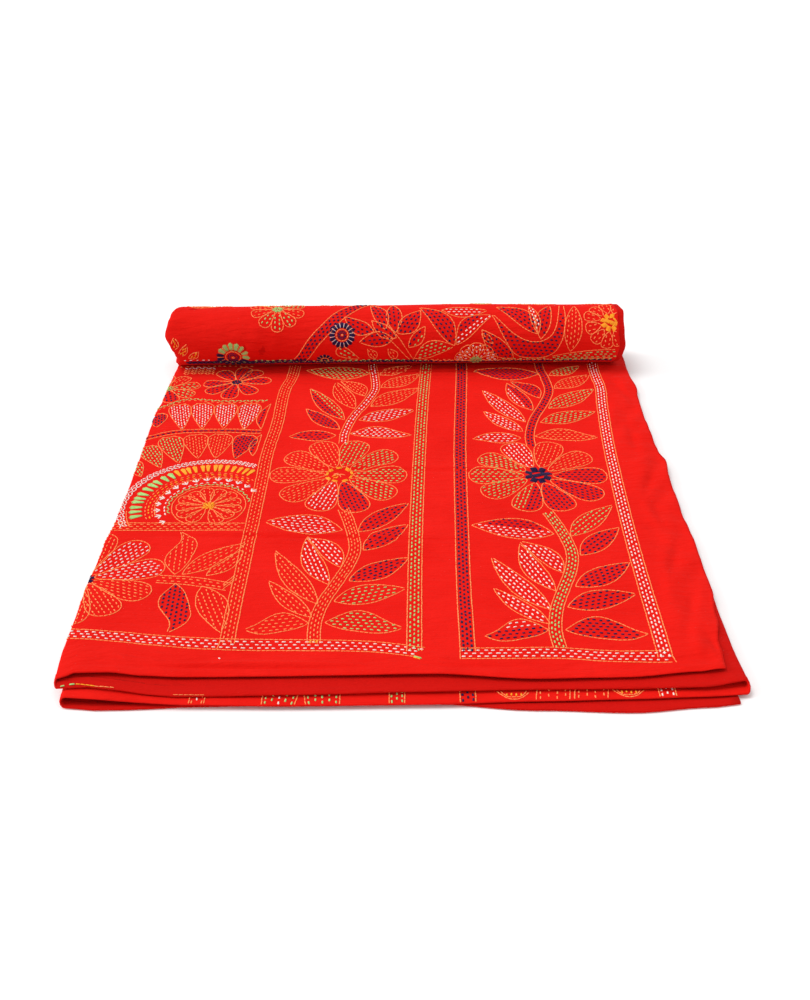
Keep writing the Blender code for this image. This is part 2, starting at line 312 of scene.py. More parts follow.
    def wound(self, across: np.ndarray, angle: np.ndarray, depth: np.ndarray) -> np.ndarray:
        """Gives places in the roll.

        Args:
            across: Where, across the stack.
            angle: How far the stack has turned, from 0 under the roll's axis.
            depth: How far inside the outermost face.

        Returns:
            The points, one a row.
        """
        across, angle, depth = np.broadcast_arrays(across, angle, depth)
        shrink = self.turn_pitch() * angle / (2.0 * math.pi)
        wave = np.sin(13.0 * across + 0.6) + 0.6 * np.sin(29.0 * across + 2.0 * angle)
        turned = (1.0 - np.cos(angle)) / 2.0
        radius = self.roll_radius - shrink - depth + self.roll_wave * wave * turned
        radius = radius + self.roll_ripple(across, angle)
        back = self.roll_axis + radius * np.sin(angle)
        return np.stack((across, back, self.roll_radius - radius * np.cos(angle)), axis=-1)

    def roll_ripple(self, across: np.ndarray, angle: np.ndarray) -> np.ndarray:
        """Gives the small wrinkles of the roll's outer turn, which stand out and never sink in.

        Args:
            across: Where, across the stack.
            angle: How far the stack has turned.

        Returns:
            The height that they add.
        """
        front = smooth((angle - 3.3) / 1.2) * (1.0 - smooth((angle - 5.0) / 0.8))
        slanted = np.sin(235.0 * across + 2.2 * angle + 1.6 * np.sin(31.0 * across)) + 1.0
        near_left = np.exp(-(((across + 0.172) / 0.034) ** 2))
        near_left = near_left + 0.30 * np.exp(-(((across - 0.06) / 0.05) ** 2))
        ends = smooth((-across - 0.245) / 0.03) + smooth((across - 0.250) / 0.03)
        rumpled = 0.0008 * ends * (np.sin(9.0 * angle + 120.0 * across) + 1.0) * np.sin(angle / 2.0) ** 2
        return 0.00100 * slanted * front * near_left + rumpled

    def roll_sides(self, ply: int, turns: np.ndarray) -> tuple[np.ndarray, np.ndarray]:
        """Where a ply starts on the left and ends on the right in the roll."""
        left, right = self.edges(ply, np.full_like(turns, self.roll_axis))
        return left + eased(self.roll_ends, 1, turns), right - eased(self.roll_ends, 2, turns)

    def placed(self, points: np.ndarray) -> np.ndarray:
        """Moves points from the stack's own frame to the model's."""
        return points - np.array((self.centre[0], self.centre[1], 0.0))

    def depth(self, ply: int) -> float:
        """How far inside the roll's outermost face a ply's middle lies."""
        return self.thickness / 2.0 + (self.plies - 1 - ply) * self.roll_pitch


@dataclass
class QuiltCloth:
    """The quilt's cloth: one sheet from the front hems to the middle of the roll."""

    lay: Lay
    columns: int = 128
    flat_rows: int = 188
    close_rows: Table = ((0.0, 0.035, 2.2), (0.328, 0.026, 1.3), (0.539, 0.022, 1.2), (0.945, 0.020, 1.4))
    outer_rows: int = 56
    rows_a_turn: int = 20
    fold_steps: int = 6
    lip_rows: int = 7
    panel: float = 0.5725
    fine_until: float = 0.592

    def share(self, column: np.ndarray | int) -> np.ndarray | float:
        """How far across a column lies, from 0 to 1, closer together towards the open edge on the right."""
        part = column / self.columns
        return part + 0.42 * part * (1.0 - part)

    def stations(self) -> np.ndarray:
        """Lists the flat rows' places as shares of the way to the roll, closer where creases run across.

        Returns:
            The shares, the last of them 1.
        """
        share = np.linspace(0.0, 1.0, 2001)
        density = np.ones_like(share)
        for middle, reach, closer in self.close_rows:
            density += closer * np.exp(-(((share - middle) / reach) ** 4))
        total = np.concatenate(([0.0], np.cumsum((density[1:] + density[:-1]) / 2.0)))
        return np.interp(np.linspace(0.0, total[-1], self.flat_rows + 1)[1:], total, share)

    def levels(self, along: float, angle: float, row: int) -> tuple[int, ...]:
        """Gives how coarsely each ply is divided in one row.

        Args:
            along: The row's place along the stack.
            angle: How far the roll has turned there.
            row: The row's number from the front.

        Returns:
            For each ply, how many of the finest columns one of its columns spans.
        """
        coarse = self.columns // 8
        if angle > 0.0:
            outer = 1 if angle < 2.1 * math.pi else coarse
            return (coarse, coarse, coarse, outer)
        top = 1 if along < self.fine_until else coarse
        lower = 4 if row < self.lip_rows else coarse
        return (top, lower, lower, lower)

    def nodes(self, levels: tuple[int, ...]) -> list[tuple[int, int, int]]:
        """Lists one row's places round the folds, from the top ply's right hem to the lowest ply's.

        Args:
            levels: How coarsely each ply is divided.

        Returns:
            For each place its ply, its column from the left, and its step round the fold, or 0.
        """
        nodes = []
        for ply in range(self.lay.plies):
            shares = list(range(0, self.columns + 1, levels[ply]))
            if ply % 2 == 0:
                shares.reverse()
            nodes += [(ply, share, 0) for share in shares]
            if ply < self.lay.plies - 1:
                nodes += [(ply, -1, step) for step in range(1, self.fold_steps)]
        return nodes

    def flat_row(self, nodes: list, distance: float, share: float, face: float) -> np.ndarray:
        """Gives one row of points of the flat stack.

        Args:
            nodes: The row's places round the folds.
            distance: The distance from each ply's hem, where share is below 0.
            share: Else the share of the way from the hems to under the roll.
            face: 1 for the embroidered face and -1 for the reverse.

        Returns:
            The points.
        """
        lay = self.lay
        points = np.zeros((len(nodes), 3))
        rows = np.array(nodes)

        def station(front: np.ndarray) -> np.ndarray:
            """Where this row lies along the stack, for hems at front."""
            if share < 0.0:
                return front + distance
            return front + lay.hem_depth + share * (lay.roll_axis - front - lay.hem_depth)

        for ply in range(lay.plies):
            here = (rows[:, 0] == ply) & (rows[:, 2] == 0)
            part = self.share(rows[here, 1])
            left, right = lay.edges(ply, 0.0)
            front = lay.hem(ply, left + part * (right - left))
            along = station(front)
            left, right = lay.edges(ply, along)
            across = left + part * (right - left)
            up = 1.0 if ply % 2 == 0 else -1.0
            height = lay.height(ply, across, along) + face * up * lay.cloth(along - front) / 2.0
            points[here] = np.stack((across, along, height), axis=-1)
            here = (rows[:, 0] == ply) & (rows[:, 2] > 0)
            if not here.any():
                continue
            left_side = ply % 2 == 0
            angle = math.pi * rows[here, 2] / self.fold_steps
            turned = (1.0 - np.cos(angle)) / 2.0
            edge = lay.edges(ply, 0.0)[0 if left_side else 1]
            front = lay.hem(ply, edge) * (1.0 - turned) + lay.hem(ply + 1, edge) * turned
            along = station(front)
            edge = lay.edges(ply, along)[0 if left_side else 1]
            upper, lower = lay.height(ply, edge, along), lay.height(ply + 1, edge, along)
            out = -1.0 if left_side else 1.0
            radius = (upper - lower - out * face * lay.cloth(along - front)) / 2.0
            height = (upper + lower) / 2.0 + radius * np.cos(angle)
            points[here] = np.stack((edge + out * radius * np.sin(angle), along, height), axis=-1)
        return points

    def wound_row(self, nodes: list, angle: float, face: float) -> np.ndarray:
        """Gives one row of points of the roll.

        Args:
            nodes: The row's places round the folds.
            angle: How far the roll has turned.
            face: 1 for the embroidered face and -1 for the reverse.

        Returns:
            The points.
        """
        lay = self.lay
        points = np.zeros((len(nodes), 3))
        rows = np.array(nodes)
        turns = np.array([angle / (2.0 * math.pi)])
        for ply in range(lay.plies):
            here = (rows[:, 0] == ply) & (rows[:, 2] == 0)
            left, right = lay.roll_sides(ply, turns)
            across = left + self.share(rows[here, 1]) * (right - left)
            up = 1.0 if ply % 2 == 0 else -1.0
            points[here] = lay.wound(across, angle, lay.depth(ply) + face * up * lay.thickness / 2.0)
            here = (rows[:, 0] == ply) & (rows[:, 2] > 0)
            if not here.any():
                continue
            left_side = ply % 2 == 0
            out = -1.0 if left_side else 1.0
            turn = math.pi * rows[here, 2] / self.fold_steps
            radius = (lay.roll_pitch - out * face * lay.thickness) / 2.0
            edge = (left if left_side else right) + out * radius * np.sin(turn)
            middle = (lay.depth(ply) + lay.depth(ply + 1)) / 2.0
            points[here] = lay.wound(edge, angle, middle + radius * np.cos(turn))
        return points

    def rows(self) -> list[tuple[list, np.ndarray, np.ndarray, float]]:
        """Lists every row of the sheet from the hems to the middle of the roll.

        Returns:
            For each row its places round the folds, the points of both faces, and its place on the cloth.
        """
        lay = self.lay
        made = []
        hems = (0.0, lay.hem_step, lay.hem_depth - lay.hem_step, lay.hem_depth)
        stations = self.stations()
        for row in range(len(hems) + self.flat_rows):
            share = float(stations[row - len(hems)]) if row >= len(hems) else -1.0
            distance = hems[row] if row < len(hems) else 0.0
            along = lay.hem_depth + max(share, 0.0) * (lay.roll_axis - lay.hem_depth)
            nodes = self.nodes(self.levels(along, 0.0, row))
            faces = [self.flat_row(nodes, distance, share, face) for face in (1.0, -1.0)]
            made.append((nodes, faces[0], faces[1], distance if share < 0.0 else along))
        angles = [2.0 * math.pi * (i + 1) / self.outer_rows for i in range(self.outer_rows)]
        rest = round((lay.turns - 1.0) * self.rows_a_turn)
        angles += [2.0 * math.pi * (1.0 + (i + 1) / self.rows_a_turn) for i in range(rest)]
        cloth, before = lay.roll_axis, 0.0
        for angle in angles:
            nodes = self.nodes(self.levels(lay.roll_axis, angle, len(made)))
            cloth += (lay.roll_radius - lay.turn_pitch() * angle / (2.0 * math.pi)) * (angle - before)
            before = angle
            faces = [self.wound_row(nodes, angle, face) for face in (1.0, -1.0)]
            made.append((nodes, faces[0], faces[1], cloth))
        return made

    def node_width(self, node: tuple[int, int, int]) -> float:
        """How far a place lies across the opened cloth, from the top ply's hem."""
        ply, column, step = node
        if step:
            return self.panel * (ply + 1) - 0.003 + 0.006 * step / self.fold_steps
        share = self.share(column)
        return self.panel * (ply + (1.0 - share if ply % 2 == 0 else share))

    @staticmethod
    def strips(near: list, far: list) -> list[tuple[list[int], list[int]]]:
        """Pairs up the places of two neighbouring rows between the places that both have.

        Args:
            near: One row's places.
            far: The next row's places.

        Returns:
            For each strip the places' numbers in the near row and in the far row.
        """
        far_at = {node: i for i, node in enumerate(far)}
        common = [(i, far_at[node]) for i, node in enumerate(near) if node in far_at]
        return [
            (list(range(a, c + 1)), list(range(b, d + 1))) for (a, b), (c, d) in zip(common, common[1:])
        ]

    def build(self) -> bpy.types.Object:
        """Makes the sheet with both faces, its hems and its ends.

        Returns:
            The finished piece.
        """
        rows = self.rows()
        starts, total = [], 0
        for nodes, _, _, _ in rows:
            starts.append(total)
            total += len(nodes)
        points = np.concatenate([row[1] for row in rows] + [row[2] for row in rows])
        flat = [(self.node_width(node), row[3]) for row in rows for node in row[0]]
        faces = []
        for i in range(len(rows) - 1):
            a, b = starts[i], starts[i + 1]
            for near, far in self.strips(rows[i][0], rows[i + 1][0]):
                ring = [a + n for n in near] + [b + n for n in reversed(far)]
                faces.append(ring)
                faces.append([total + n for n in reversed(ring)])
            last_near, last_far = a + len(rows[i][0]) - 1, b + len(rows[i + 1][0]) - 1
            faces.append([a, b, total + b, total + a])
            faces.append([last_far, last_near, total + last_near, total + last_far])
        for start, count, front in ((0, len(rows[0][0]), True), (starts[-1], len(rows[-1][0]), False)):
            for n in range(start, start + count - 1):
                rim = [n + 1, n, total + n, total + n + 1]
                faces.append(rim if front else list(reversed(rim)))
        mesh = bpy.data.meshes.new("quilt_cloth")
        mesh.from_pydata(self.lay.placed(points).tolist(), [], faces)
        mesh.update()
        self.lay_out(mesh, flat + flat, total)
        quilt = bpy.data.objects.new("quilt_cloth", mesh)
        bpy.context.scene.collection.objects.link(quilt)
        bpy.ops.object.select_all(action="DESELECT")
        quilt.select_set(True)
        bpy.context.view_layer.objects.active = quilt
        bpy.ops.object.mode_set(mode="EDIT")
        bpy.ops.mesh.select_all(action="SELECT")
        bpy.ops.mesh.normals_make_consistent(inside=False)
        bpy.ops.object.mode_set(mode="OBJECT")
        bpy.ops.object.shade_smooth()
        return quilt

    @staticmethod
    def lay_out(mesh: bpy.types.Mesh, flat: list[Point], total: int) -> None:
        """Writes each corner's place on the opened cloth, and which side of the cloth it is.

        Args:
            mesh: The sheet's mesh.
            flat: The place of each vertex on the opened cloth.
            total: How many vertices the embroidered face has.
        """
        corners = np.zeros(len(mesh.loops), dtype=np.int32)
        mesh.loops.foreach_get("vertex_index", corners)
        opened = mesh.uv_layers.new(name="opened_cloth")
        opened.data.foreach_set("uv", np.array(flat, dtype=np.float32)[corners].ravel())
        # This side flag also carries painted shade: the finish gives reverse faces a darker red, partly
        # their own duller red and partly painted shade.
        side = mesh.attributes.new("reverse_side_and_shade", "FLOAT", "POINT")
        side.data.foreach_set("value", (np.arange(len(flat)) >= total).astype(np.float32))


@dataclass(frozen=True)
class TopFace:
    """The embroidered face of the top ply, on round the left fold."""

    lay: Lay
    name: str = "top"

    def points(self, flat: np.ndarray, lift: np.ndarray) -> np.ndarray:
        """Gives places on the face.

        Args:
            flat: Rows of across and along.
            lift: How far over the face.

        Returns:
            The points, one a row.
        """
        lay = self.lay
        across, along = flat[:, 0], flat[:, 1]
        left, _ = lay.edges(0, along)
        inside = np.maximum(across, left)
        thick = lay.cloth(along - lay.hem(0, inside)) / 2.0
        height = lay.height(0, inside, along)
        lower = lay.height(1, left, along)
        radius = (height - lower) / 2.0 + thick + lift
        angle = np.clip((left - across) / radius, 0.0, math.pi)
        over = np.where(across < left, left - radius * np.sin(angle), across)
        folded = (height + lower) / 2.0 + radius * np.cos(angle)
        return np.stack((over, along, np.where(across < left, folded, height + thick + lift)), axis=-1)

    def holds(self, flat: np.ndarray) -> np.ndarray:
        """Whether each place is on the cloth, clear of its hems."""
        left, right = self.lay.edges(0, flat[:, 1])
        inside = (flat[:, 0] > left - 0.006) & (flat[:, 0] < right - 0.0012) & (flat[:, 1] < 0.596)
        return inside & (flat[:, 1] > self.lay.hem(0, flat[:, 0]) + 0.0012)


@dataclass(frozen=True)
class RollFace:
    """The embroidered face that the roll shows. Its second place is the arc from under the roll's axis."""

    lay: Lay
    name: str = "roll"

    def angle(self, arc: np.ndarray) -> np.ndarray:
        """How far the roll has turned at a length along its face."""
        radius, slope = self.lay.roll_radius, self.lay.turn_pitch() / (2.0 * math.pi)
        return (radius - np.sqrt(radius * radius - 2.0 * slope * arc)) / slope

    def points(self, flat: np.ndarray, lift: np.ndarray) -> np.ndarray:
        """Gives places on the face.

        Args:
            flat: Rows of across and arc.
            lift: How far over the face.

        Returns:
            The points, one a row.
        """
        return self.lay.wound(flat[:, 0], self.angle(np.maximum(flat[:, 1], 0.0)), -np.asarray(lift))

    def holds(self, flat: np.ndarray) -> np.ndarray:
        """Whether each place is on the roll's outermost turn, clear of its ends."""
        turns = self.angle(np.clip(flat[:, 1], 0.0, 0.30)) / (2.0 * math.pi)
        left, right = self.lay.roll_sides(3, turns)
        inside = (flat[:, 0] > left + 0.0004) & (flat[:, 0] < right - 0.0012)
        return inside & (turns > 0.015) & (turns < 0.975)


@dataclass(frozen=True)
class LowerFace:
    """The embroidered face of the third or the lowest ply: the front lip, or the underside."""

    lay: Lay
    ply: int
    name: str

    def points(self, flat: np.ndarray, lift: np.ndarray) -> np.ndarray:
        """Gives places on the face.

        Args:
            flat: Rows of across and along.
            lift: How far over the face.

        Returns:
            The points, one a row.
        """
        lay = self.lay
        across, along = flat[:, 0], flat[:, 1]
        up = 1.0 if self.ply % 2 == 0 else -1.0
        out = lay.cloth(along - lay.hem(self.ply, across)) / 2.0 + lift
        if self.name == "edging":
            up = 1.0
        return np.stack((across, along, lay.height(self.ply, across, along) + up * out), axis=-1)

    def holds(self, flat: np.ndarray) -> np.ndarray:
        """Whether each place is on the cloth, clear of its hems."""
        left, right = self.lay.edges(self.ply, flat[:, 1])
        inside = (flat[:, 0] > left + 0.002) & (flat[:, 0] < right - 0.002) & (flat[:, 1] < 0.60)
        return inside & (flat[:, 1] > self.lay.hem(self.ply, flat[:, 0]) + 0.0006)


def heading(turn: float) -> np.ndarray:
    """A unit vector in a direction."""
    return np.array((math.cos(turn), math.sin(turn)))


def leftward(way: np.ndarray) -> np.ndarray:
    """A vector turned a quarter to its left."""
    return np.array((-way[1], way[0]))


def pair_of(choice: object) -> tuple:
    """A filling thread and the second one beside it, or None."""
    return choice if isinstance(choice, tuple) else (choice, None)


def distances(path: np.ndarray) -> np.ndarray:
    """How far along a path each of its points lies."""
    return np.concatenate(([0.0], np.cumsum(np.linalg.norm(np.diff(path, axis=0), axis=1))))


def on_path(path: np.ndarray, wanted: np.ndarray) -> np.ndarray:
    """The places on a path that lie so far along it."""
    at = distances(path)
    return np.stack((np.interp(wanted, at, path[:, 0]), np.interp(wanted, at, path[:, 1])), axis=-1)


def resampled(path: np.ndarray, step: float) -> np.ndarray:
    """Gives a path's points at even steps.

    Args:
        path: The path's corners, one a row.
        step: About how far apart.

    Returns:
        The points, the two ends among them.
    """
    length = distances(path)[-1]
    return on_path(path, np.linspace(0.0, length, max(2, int(round(length / step)) + 1)))


def curved(corners: list[Point], step: float = 0.004) -> np.ndarray:
    """Draws a smooth curve through a few points.

    Args:
        corners: The points, in metres.
        step: How far apart the curve's own points are.

    Returns:
        The curve's points, one a row.
    """
    p = np.array(corners, dtype=float)
    p = np.concatenate((2.0 * p[:1] - p[1:2], p, 2.0 * p[-1:] - p[-2:-1]))
    t = np.linspace(0.0, 1.0, 9)[:-1, None]
    made = []
    for a, b, c, d in zip(p, p[1:], p[2:], p[3:]):
        square, cube = 2 * a - 5 * b + 4 * c - d, 3 * b - a - 3 * c + d
        made.append(0.5 * (2 * b + (c - a) * t + square * t**2 + cube * t**3))
    made.append(p[-2:-1])
    return resampled(np.concatenate(made), step)


def beside(path: np.ndarray, offset: float) -> np.ndarray:
    """Moves a path sideways, to its left for a positive offset."""
    along = np.gradient(path, axis=0)
    along /= np.maximum(np.linalg.norm(along, axis=1, keepdims=True), 1e-9)
    return path + offset * np.stack((-along[:, 1], along[:, 0]), axis=-1)


@dataclass
class Needlework:
    """The stitches on one face, gathered by thread."""

    seed: int
    limit: tuple[float, float, float, float] = (-0.40, 0.40, -0.10, 0.70)
    stitch: float = 0.0029
    space: float = 0.0033
    row_pitch: float = 0.0047
    inset: float = 0.0021
    line_width: float = 0.00098
    fill_width: float = 0.00152
    orange_width: float = 0.00116
    navy_width: float = 0.00200
    runs: dict[Thread, list] = field(default_factory=dict)

    def __post_init__(self) -> None:
        """Starts this face's own chain of chance."""
        self.chance = np.random.default_rng(self.seed)

    def breadth(self, thread: Thread) -> float:
        """How wide a filling stitch of a thread lies."""
        return {Thread.ORANGE: self.orange_width, Thread.NAVY: self.navy_width}.get(thread,
            self.fill_width)

    def sew(self, thread: Thread, starts: np.ndarray, ends: np.ndarray, width: float = 0.00105) -> None:
        """Adds stitches.

        Args:
            thread: Their thread.
            starts: Where each starts.
            ends: Where each ends.
            width: How wide the thread lies.
        """
        low_x, high_x, low_y, high_y = self.limit
        middle = (starts + ends) / 2.0
        keep = (middle[:, 0] > low_x) & (middle[:, 0] < high_x)
        keep &= (middle[:, 1] > low_y) & (middle[:, 1] < high_y)
        if keep.any():
            widths = width * self.chance.uniform(0.86, 1.14, int(keep.sum()))
            self.runs.setdefault(thread, []).append((starts[keep], ends[keep], widths))

    def along_path(
        self, thread: Thread, path: np.ndarray, stitch: float, space: float, phase: float, width: float
    ) -> None:
        """Sews a row of stitches along a path.

        Args:
            thread: The thread.
            path: The path's points.
            stitch: The length of a stitch.
            space: The space to the next one.
            phase: The share of a stitch and space by which the row starts late.
            width: How wide the thread lies.
        """
        whole = distances(path)[-1]
        count = int(whole / (stitch + space) - phase + 0.35)
        if count < 1:
            return
        first = (np.arange(count) + phase) * (stitch + space)
        slip = self.chance.normal(0.0, 0.07 * (stitch + space), count) * (space > 0.001)
        longer = self.chance.normal(0.0, 0.10 * stitch, count) * (space > 0.001)
        first = np.clip(first + slip, 0.0, whole)
        last = np.clip(first + stitch + longer, 0.0, whole)
        ends = [on_path(path, wanted) for wanted in (first, last)]
        keep = last - first > 0.4 * stitch
        sway = self.chance.normal(0.0, 0.00012, (2, count, 2))
        self.sew(thread, (ends[0] + sway[0])[keep], (ends[1] + sway[1])[keep], width)

    def outline(self, path: np.ndarray) -> None:
        """Sews a close orange line, stitch touching stitch."""
        self.along_path(Thread.ORANGE, path, 0.0041, 0.0002, 0.0, self.line_width)

    def running(self, path: np.ndarray, thread: Thread, phase: float = 0.0) -> None:
        """Sews a row of running stitches."""
        self.along_path(thread, path, 1.06 * self.stitch, 1.10 * self.space, phase, self.breadth(thread))

    def fill(
        self, polygon: np.ndarray, thread: Thread, angle: float, other: Thread | None = None,
            closer: float = 1.0
    ) -> None:
        """Fills a closed shape with rows of running stitches.

        Args:
            polygon: The shape's corners.
            thread: The thread.
            angle: The rows' direction.
            other: A second thread for the rows on the far side of the shape's middle, where it has one.
            closer: The share of the usual space between the rows.
        """
        turn = np.array(((math.cos(angle), -math.sin(angle)), (math.sin(angle), math.cos(angle))))
        local = polygon @ turn
        low, high = local[:, 1].min() + self.inset, local[:, 1].max() - self.inset
        count = max(1, int((high - low) / (closer * self.row_pitch) + 0.6))
        middle = (low + high) / 2.0
        around = np.concatenate((local, local[:1]))
        pitch = self.stitch + self.space
        slide = self.chance.uniform(0.0, pitch)
        for row in range(count):
            level = middle + (row - (count - 1) / 2.0) * (high - low) / count + 1e-6
            cuts = []
            for (x0, y0), (x1, y1) in zip(around, around[1:]):
                if (y0 - level) * (y1 - level) < 0.0:
                    cuts.append(x0 + (level - y0) * (x1 - x0) / (y1 - y0))
            cuts.sort()
            first = slide + 0.5 * pitch * (row % 2) + self.chance.normal(0.0, 0.06 * pitch)
            chosen = other if other is not None and level > middle else thread
            for x0, x1 in zip(cuts[::2], cuts[1::2]):
                begin = first + pitch * np.arange(math.floor((x0 - first) / pitch), (x1 - first) / pitch)
                begin = begin + self.chance.normal(0.0, 0.05 * pitch, len(begin))
                length = self.stitch * self.chance.uniform(0.85, 1.15, len(begin))
                stop = np.minimum(begin + length, x1 - self.inset)
                begin = np.maximum(begin, x0 + self.inset)
                keep = stop - begin > 0.5 * self.stitch
                drift = self.chance.normal(0.0, 0.00025, (2, len(begin)))
                start = np.stack((begin, level + drift[0]), axis=-1)[keep]
                end = np.stack((stop, level + drift[1]), axis=-1)[keep]
                self.sew(chosen, start @ turn.T, end @ turn.T,
                    self.breadth(chosen) * (0.7 + 0.3 * closer))

    def leaf(
        self,
        base: Point,
        tip: Point,
        width: float,
        thread: Thread,
        bow: float = 0.08,
        other: Thread | None = None,
        sway: float = 0.0,
        closer: float = 1.0,
    ) -> None:
        """Sews a pointed leaf: a close outline, filled with running stitches.

        Args:
            base: Where it leaves the stem.
            tip: Its tip.
            width: Its widest.
            thread: The filling thread.
            bow: How far its midrib bends to the left, as a share of its length.
            other: A second filling thread for its left half, where it has one.
            sway: How far it bends like an S, as a share of its length.
            closer: The share of the usual space between the filling rows.
        """
        foot, end = np.array(base), np.array(tip)
        along = end - foot
        length = float(np.linalg.norm(along))
        along /= length
        aside = leftward(along)
        t = np.linspace(0.0, 1.0, 17)[:, None]
        swing = bow * np.sin(math.pi * t) - sway * np.sin(2.0 * math.pi * t) * t
        rib = foot + length * (t * along + swing * aside)
        half = width / 2.0 * np.sin(math.pi * t) ** 0.86 * (1.0 + 0.18 * np.cos(math.pi * t))
        left, right = rib + half * aside, rib - half * aside
        self.outline(left)
        self.outline(right)
        shape = np.concatenate((left, right[::-1][1:-1]))
        self.fill(shape, thread, math.atan2(along[1], along[0]), other, closer)

    def petal(
        self, base: np.ndarray, tip: np.ndarray, width: float, thread: Thread, other: Thread | None = None
    ) -> None:
        """Sews a petal: narrow where it starts, round at its end.

        Args:
            base: Where it starts.
            tip: Its round end.
            width: Its widest.
            thread: The filling thread.
            other: A second filling thread for its left half, where it has one.
        """
        along = tip - base
        length = float(np.linalg.norm(along))
        along /= length
        aside = leftward(along)
        t = np.concatenate((np.linspace(0.0, 0.85, 12), np.array((0.91, 0.96, 0.99, 1.0))))[:, None]
        half = (0.05 + 0.95 * t**0.72) * np.sqrt(np.maximum(0.0, 1.0 - t**5))
        half *= width / 2.0 / half.max()
        rib = base + t * length * along
        left, right = rib + half * aside, rib - half * aside
        shape = np.concatenate((left, right[::-1][1:]))
        self.outline(np.concatenate((shape, shape[:1])))
        self.fill(shape, thread, math.atan2(along[1], along[0]), other)

    def flower(
        self,
        centre: Point,
        radius: float,
        threads: list,
        width: float,
        hub: float,
        hub_thread: Thread | None,
        start: float = 0.0,
        sweep: float = 2.0 * math.pi,
    ) -> None:
        """Sews a flower of separate petals around a hub.

        Args:
            centre: Its middle.
            radius: How far its petals reach.
            threads: Each petal's thread, counter-clockwise, or a pair of threads.
            width: A petal's width.
            hub: The hub's radius.
            hub_thread: The hub's thread, or None to leave it open.
            start: The first petal's direction.
            sweep: How far round the petals go.
        """
        middle = np.array(centre)
        for i, choice in enumerate(threads):
            way = heading(start + sweep * i / len(threads) + self.chance.normal(0.0, 0.03))
            reach = radius * self.chance.uniform(0.96, 1.03)
            self.petal(middle + 1.05 * hub * way, middle + reach * way, width, *pair_of(choice))
        if hub_thread is not None:
            self.hub(centre, hub, hub_thread)

    def petals(self, centre: Point, inner: float, petals: tuple, width: float) -> None:
        """Sews single petals around a place.

        Args:
            centre: The place.
            inner: How far from it they start.
            petals: Each one's direction in degrees, its reach in millimetres and its thread.
            width: Their width.
        """
        middle = np.array(centre)
        for degrees, reach, thread in petals:
            way = heading(math.radians(degrees))
            self.petal(middle + inner * way, middle + reach / 1000.0 * way, width, thread)

    def hub(self, centre: Point, radius: float, thread: Thread) -> None:
        """Sews a flower's hub as blocks of close stitches: a ring, and a few inside it.

        Args:
            centre: Its middle.
            radius: Its radius.
            thread: Its thread.
        """
        middle = np.array(centre)
        for share, size in ((0.74, 0.27), (0.24, 0.24)):
            count = max(2, int(2.0 * math.pi * share / (2.0 * size) * 0.95))
            for i in range(count):
                way = heading(2.0 * math.pi * (i + 0.5 * share) / count)
                side = leftward(way)
                spot = middle + radius * share * way
                lean = self.chance.uniform(-0.5, 0.5)
                reach = radius * size * (math.cos(lean) * side + math.sin(lean) * way)
                threads = max(2, int(2.0 * size * radius / 0.0010))
                for step in np.linspace(-0.85, 0.85, threads):
                    foot = spot + step * radius * size * way
                    self.sew(thread, (foot - reach)[None], (foot + reach)[None], 0.0012)

    def ring_hub(self, centre: Point, radius: float, ring: Thread, inner: Thread) -> None:
        """Sews an open hub: a loose ring of doubled stitches around a small tangle.

        Args:
            centre: Its middle.
            radius: Its radius.
            ring: The ring's thread.
            inner: The tangle's thread.
        """
        middle = np.array(centre)
        for i in range(9):
            turn = 2.0 * math.pi * i / 9.0 + self.chance.normal(0.0, 0.05)
            for shift in (-0.0009, 0.0005, 0.0018)[: 2 + i % 2]:
                ends = arc_of(0.0, 0.0, radius + shift, turn, turn + 0.50)
                self.sew(ring, (middle + ends[0])[None], (middle + ends[-1])[None], 0.0013)
        for i in range(9):
            turn = self.chance.uniform(0.0, 2.0 * math.pi)
            foot = middle + radius * 0.45 * self.chance.uniform(-1.0, 1.0, 2)
            reach = 0.0028 * heading(turn)
            self.sew(ring if i % 3 == 0 else inner, (foot - reach)[None], (foot + reach)[None], 0.0011)

    def daisy(
        self,
        centre: Point,
        radius: float,
        count: int,
        petals: tuple,
        hub_thread: Thread,
        parting: Thread = Thread.ORANGE,
    ) -> None:
        """Sews a small daisy in satin stitch, four long stitches a petal.

        Args:
            centre: Its middle.
            radius: How far its petals reach.
            count: How many petals it has.
            petals: Their threads, over and over.
            hub_thread: The hub's thread.
            parting: The thread of the thin lines between the petals.
        """
        middle = np.array(centre)
        for i in range(count):
            turn = 2.0 * math.pi * i / count
            way = heading(turn)
            side = leftward(way)
            broad = 0.62 * math.pi * radius / count
            for shift in (-0.9, -0.3, 0.3, 0.9):
                reach = radius * (1.0 - 0.09 * abs(shift))
                foot = middle + 0.50 * radius * way + 0.45 * broad * shift * side
                end = middle + reach * way + 0.85 * broad * shift * side
                self.sew(petals[i % len(petals)], foot[None], end[None], 0.0012)
            way = radius * heading(turn + math.pi / count)
            self.sew(parting, (middle + 0.52 * way)[None], (middle + 0.90 * way)[None], 0.0008)
        self.outline(arc_of(centre[0], centre[1], 0.44 * radius, 0.0, 2.0 * math.pi))
        for share, thread in ((0.30, hub_thread), (0.20, hub_thread), (0.07, Thread.ORANGE)):
            ring = arc_of(centre[0], centre[1], share * radius, 0.0, 2.0 * math.pi)
            self.along_path(thread, ring, 0.0022, 0.0003, 0.0, 0.0013)

    def strip(self, path: np.ndarray, width: float, thread: Thread, rows: int = 3) -> None:
        """Sews a strip: two close lines with rows of running stitches between them.

        Args:
            path: The strip's middle line.
            width: Its width.
            thread: The filling thread.
            rows: How many rows fill it.
        """
        for side in (-1.0, 1.0):
            self.outline(beside(path, side * width / 2.0))
        for row in range(rows):
            offset = (row - (rows - 1) / 2.0) * (width - 0.0022) / rows
            self.running(beside(path, offset), thread, 0.5 * (row % 2))

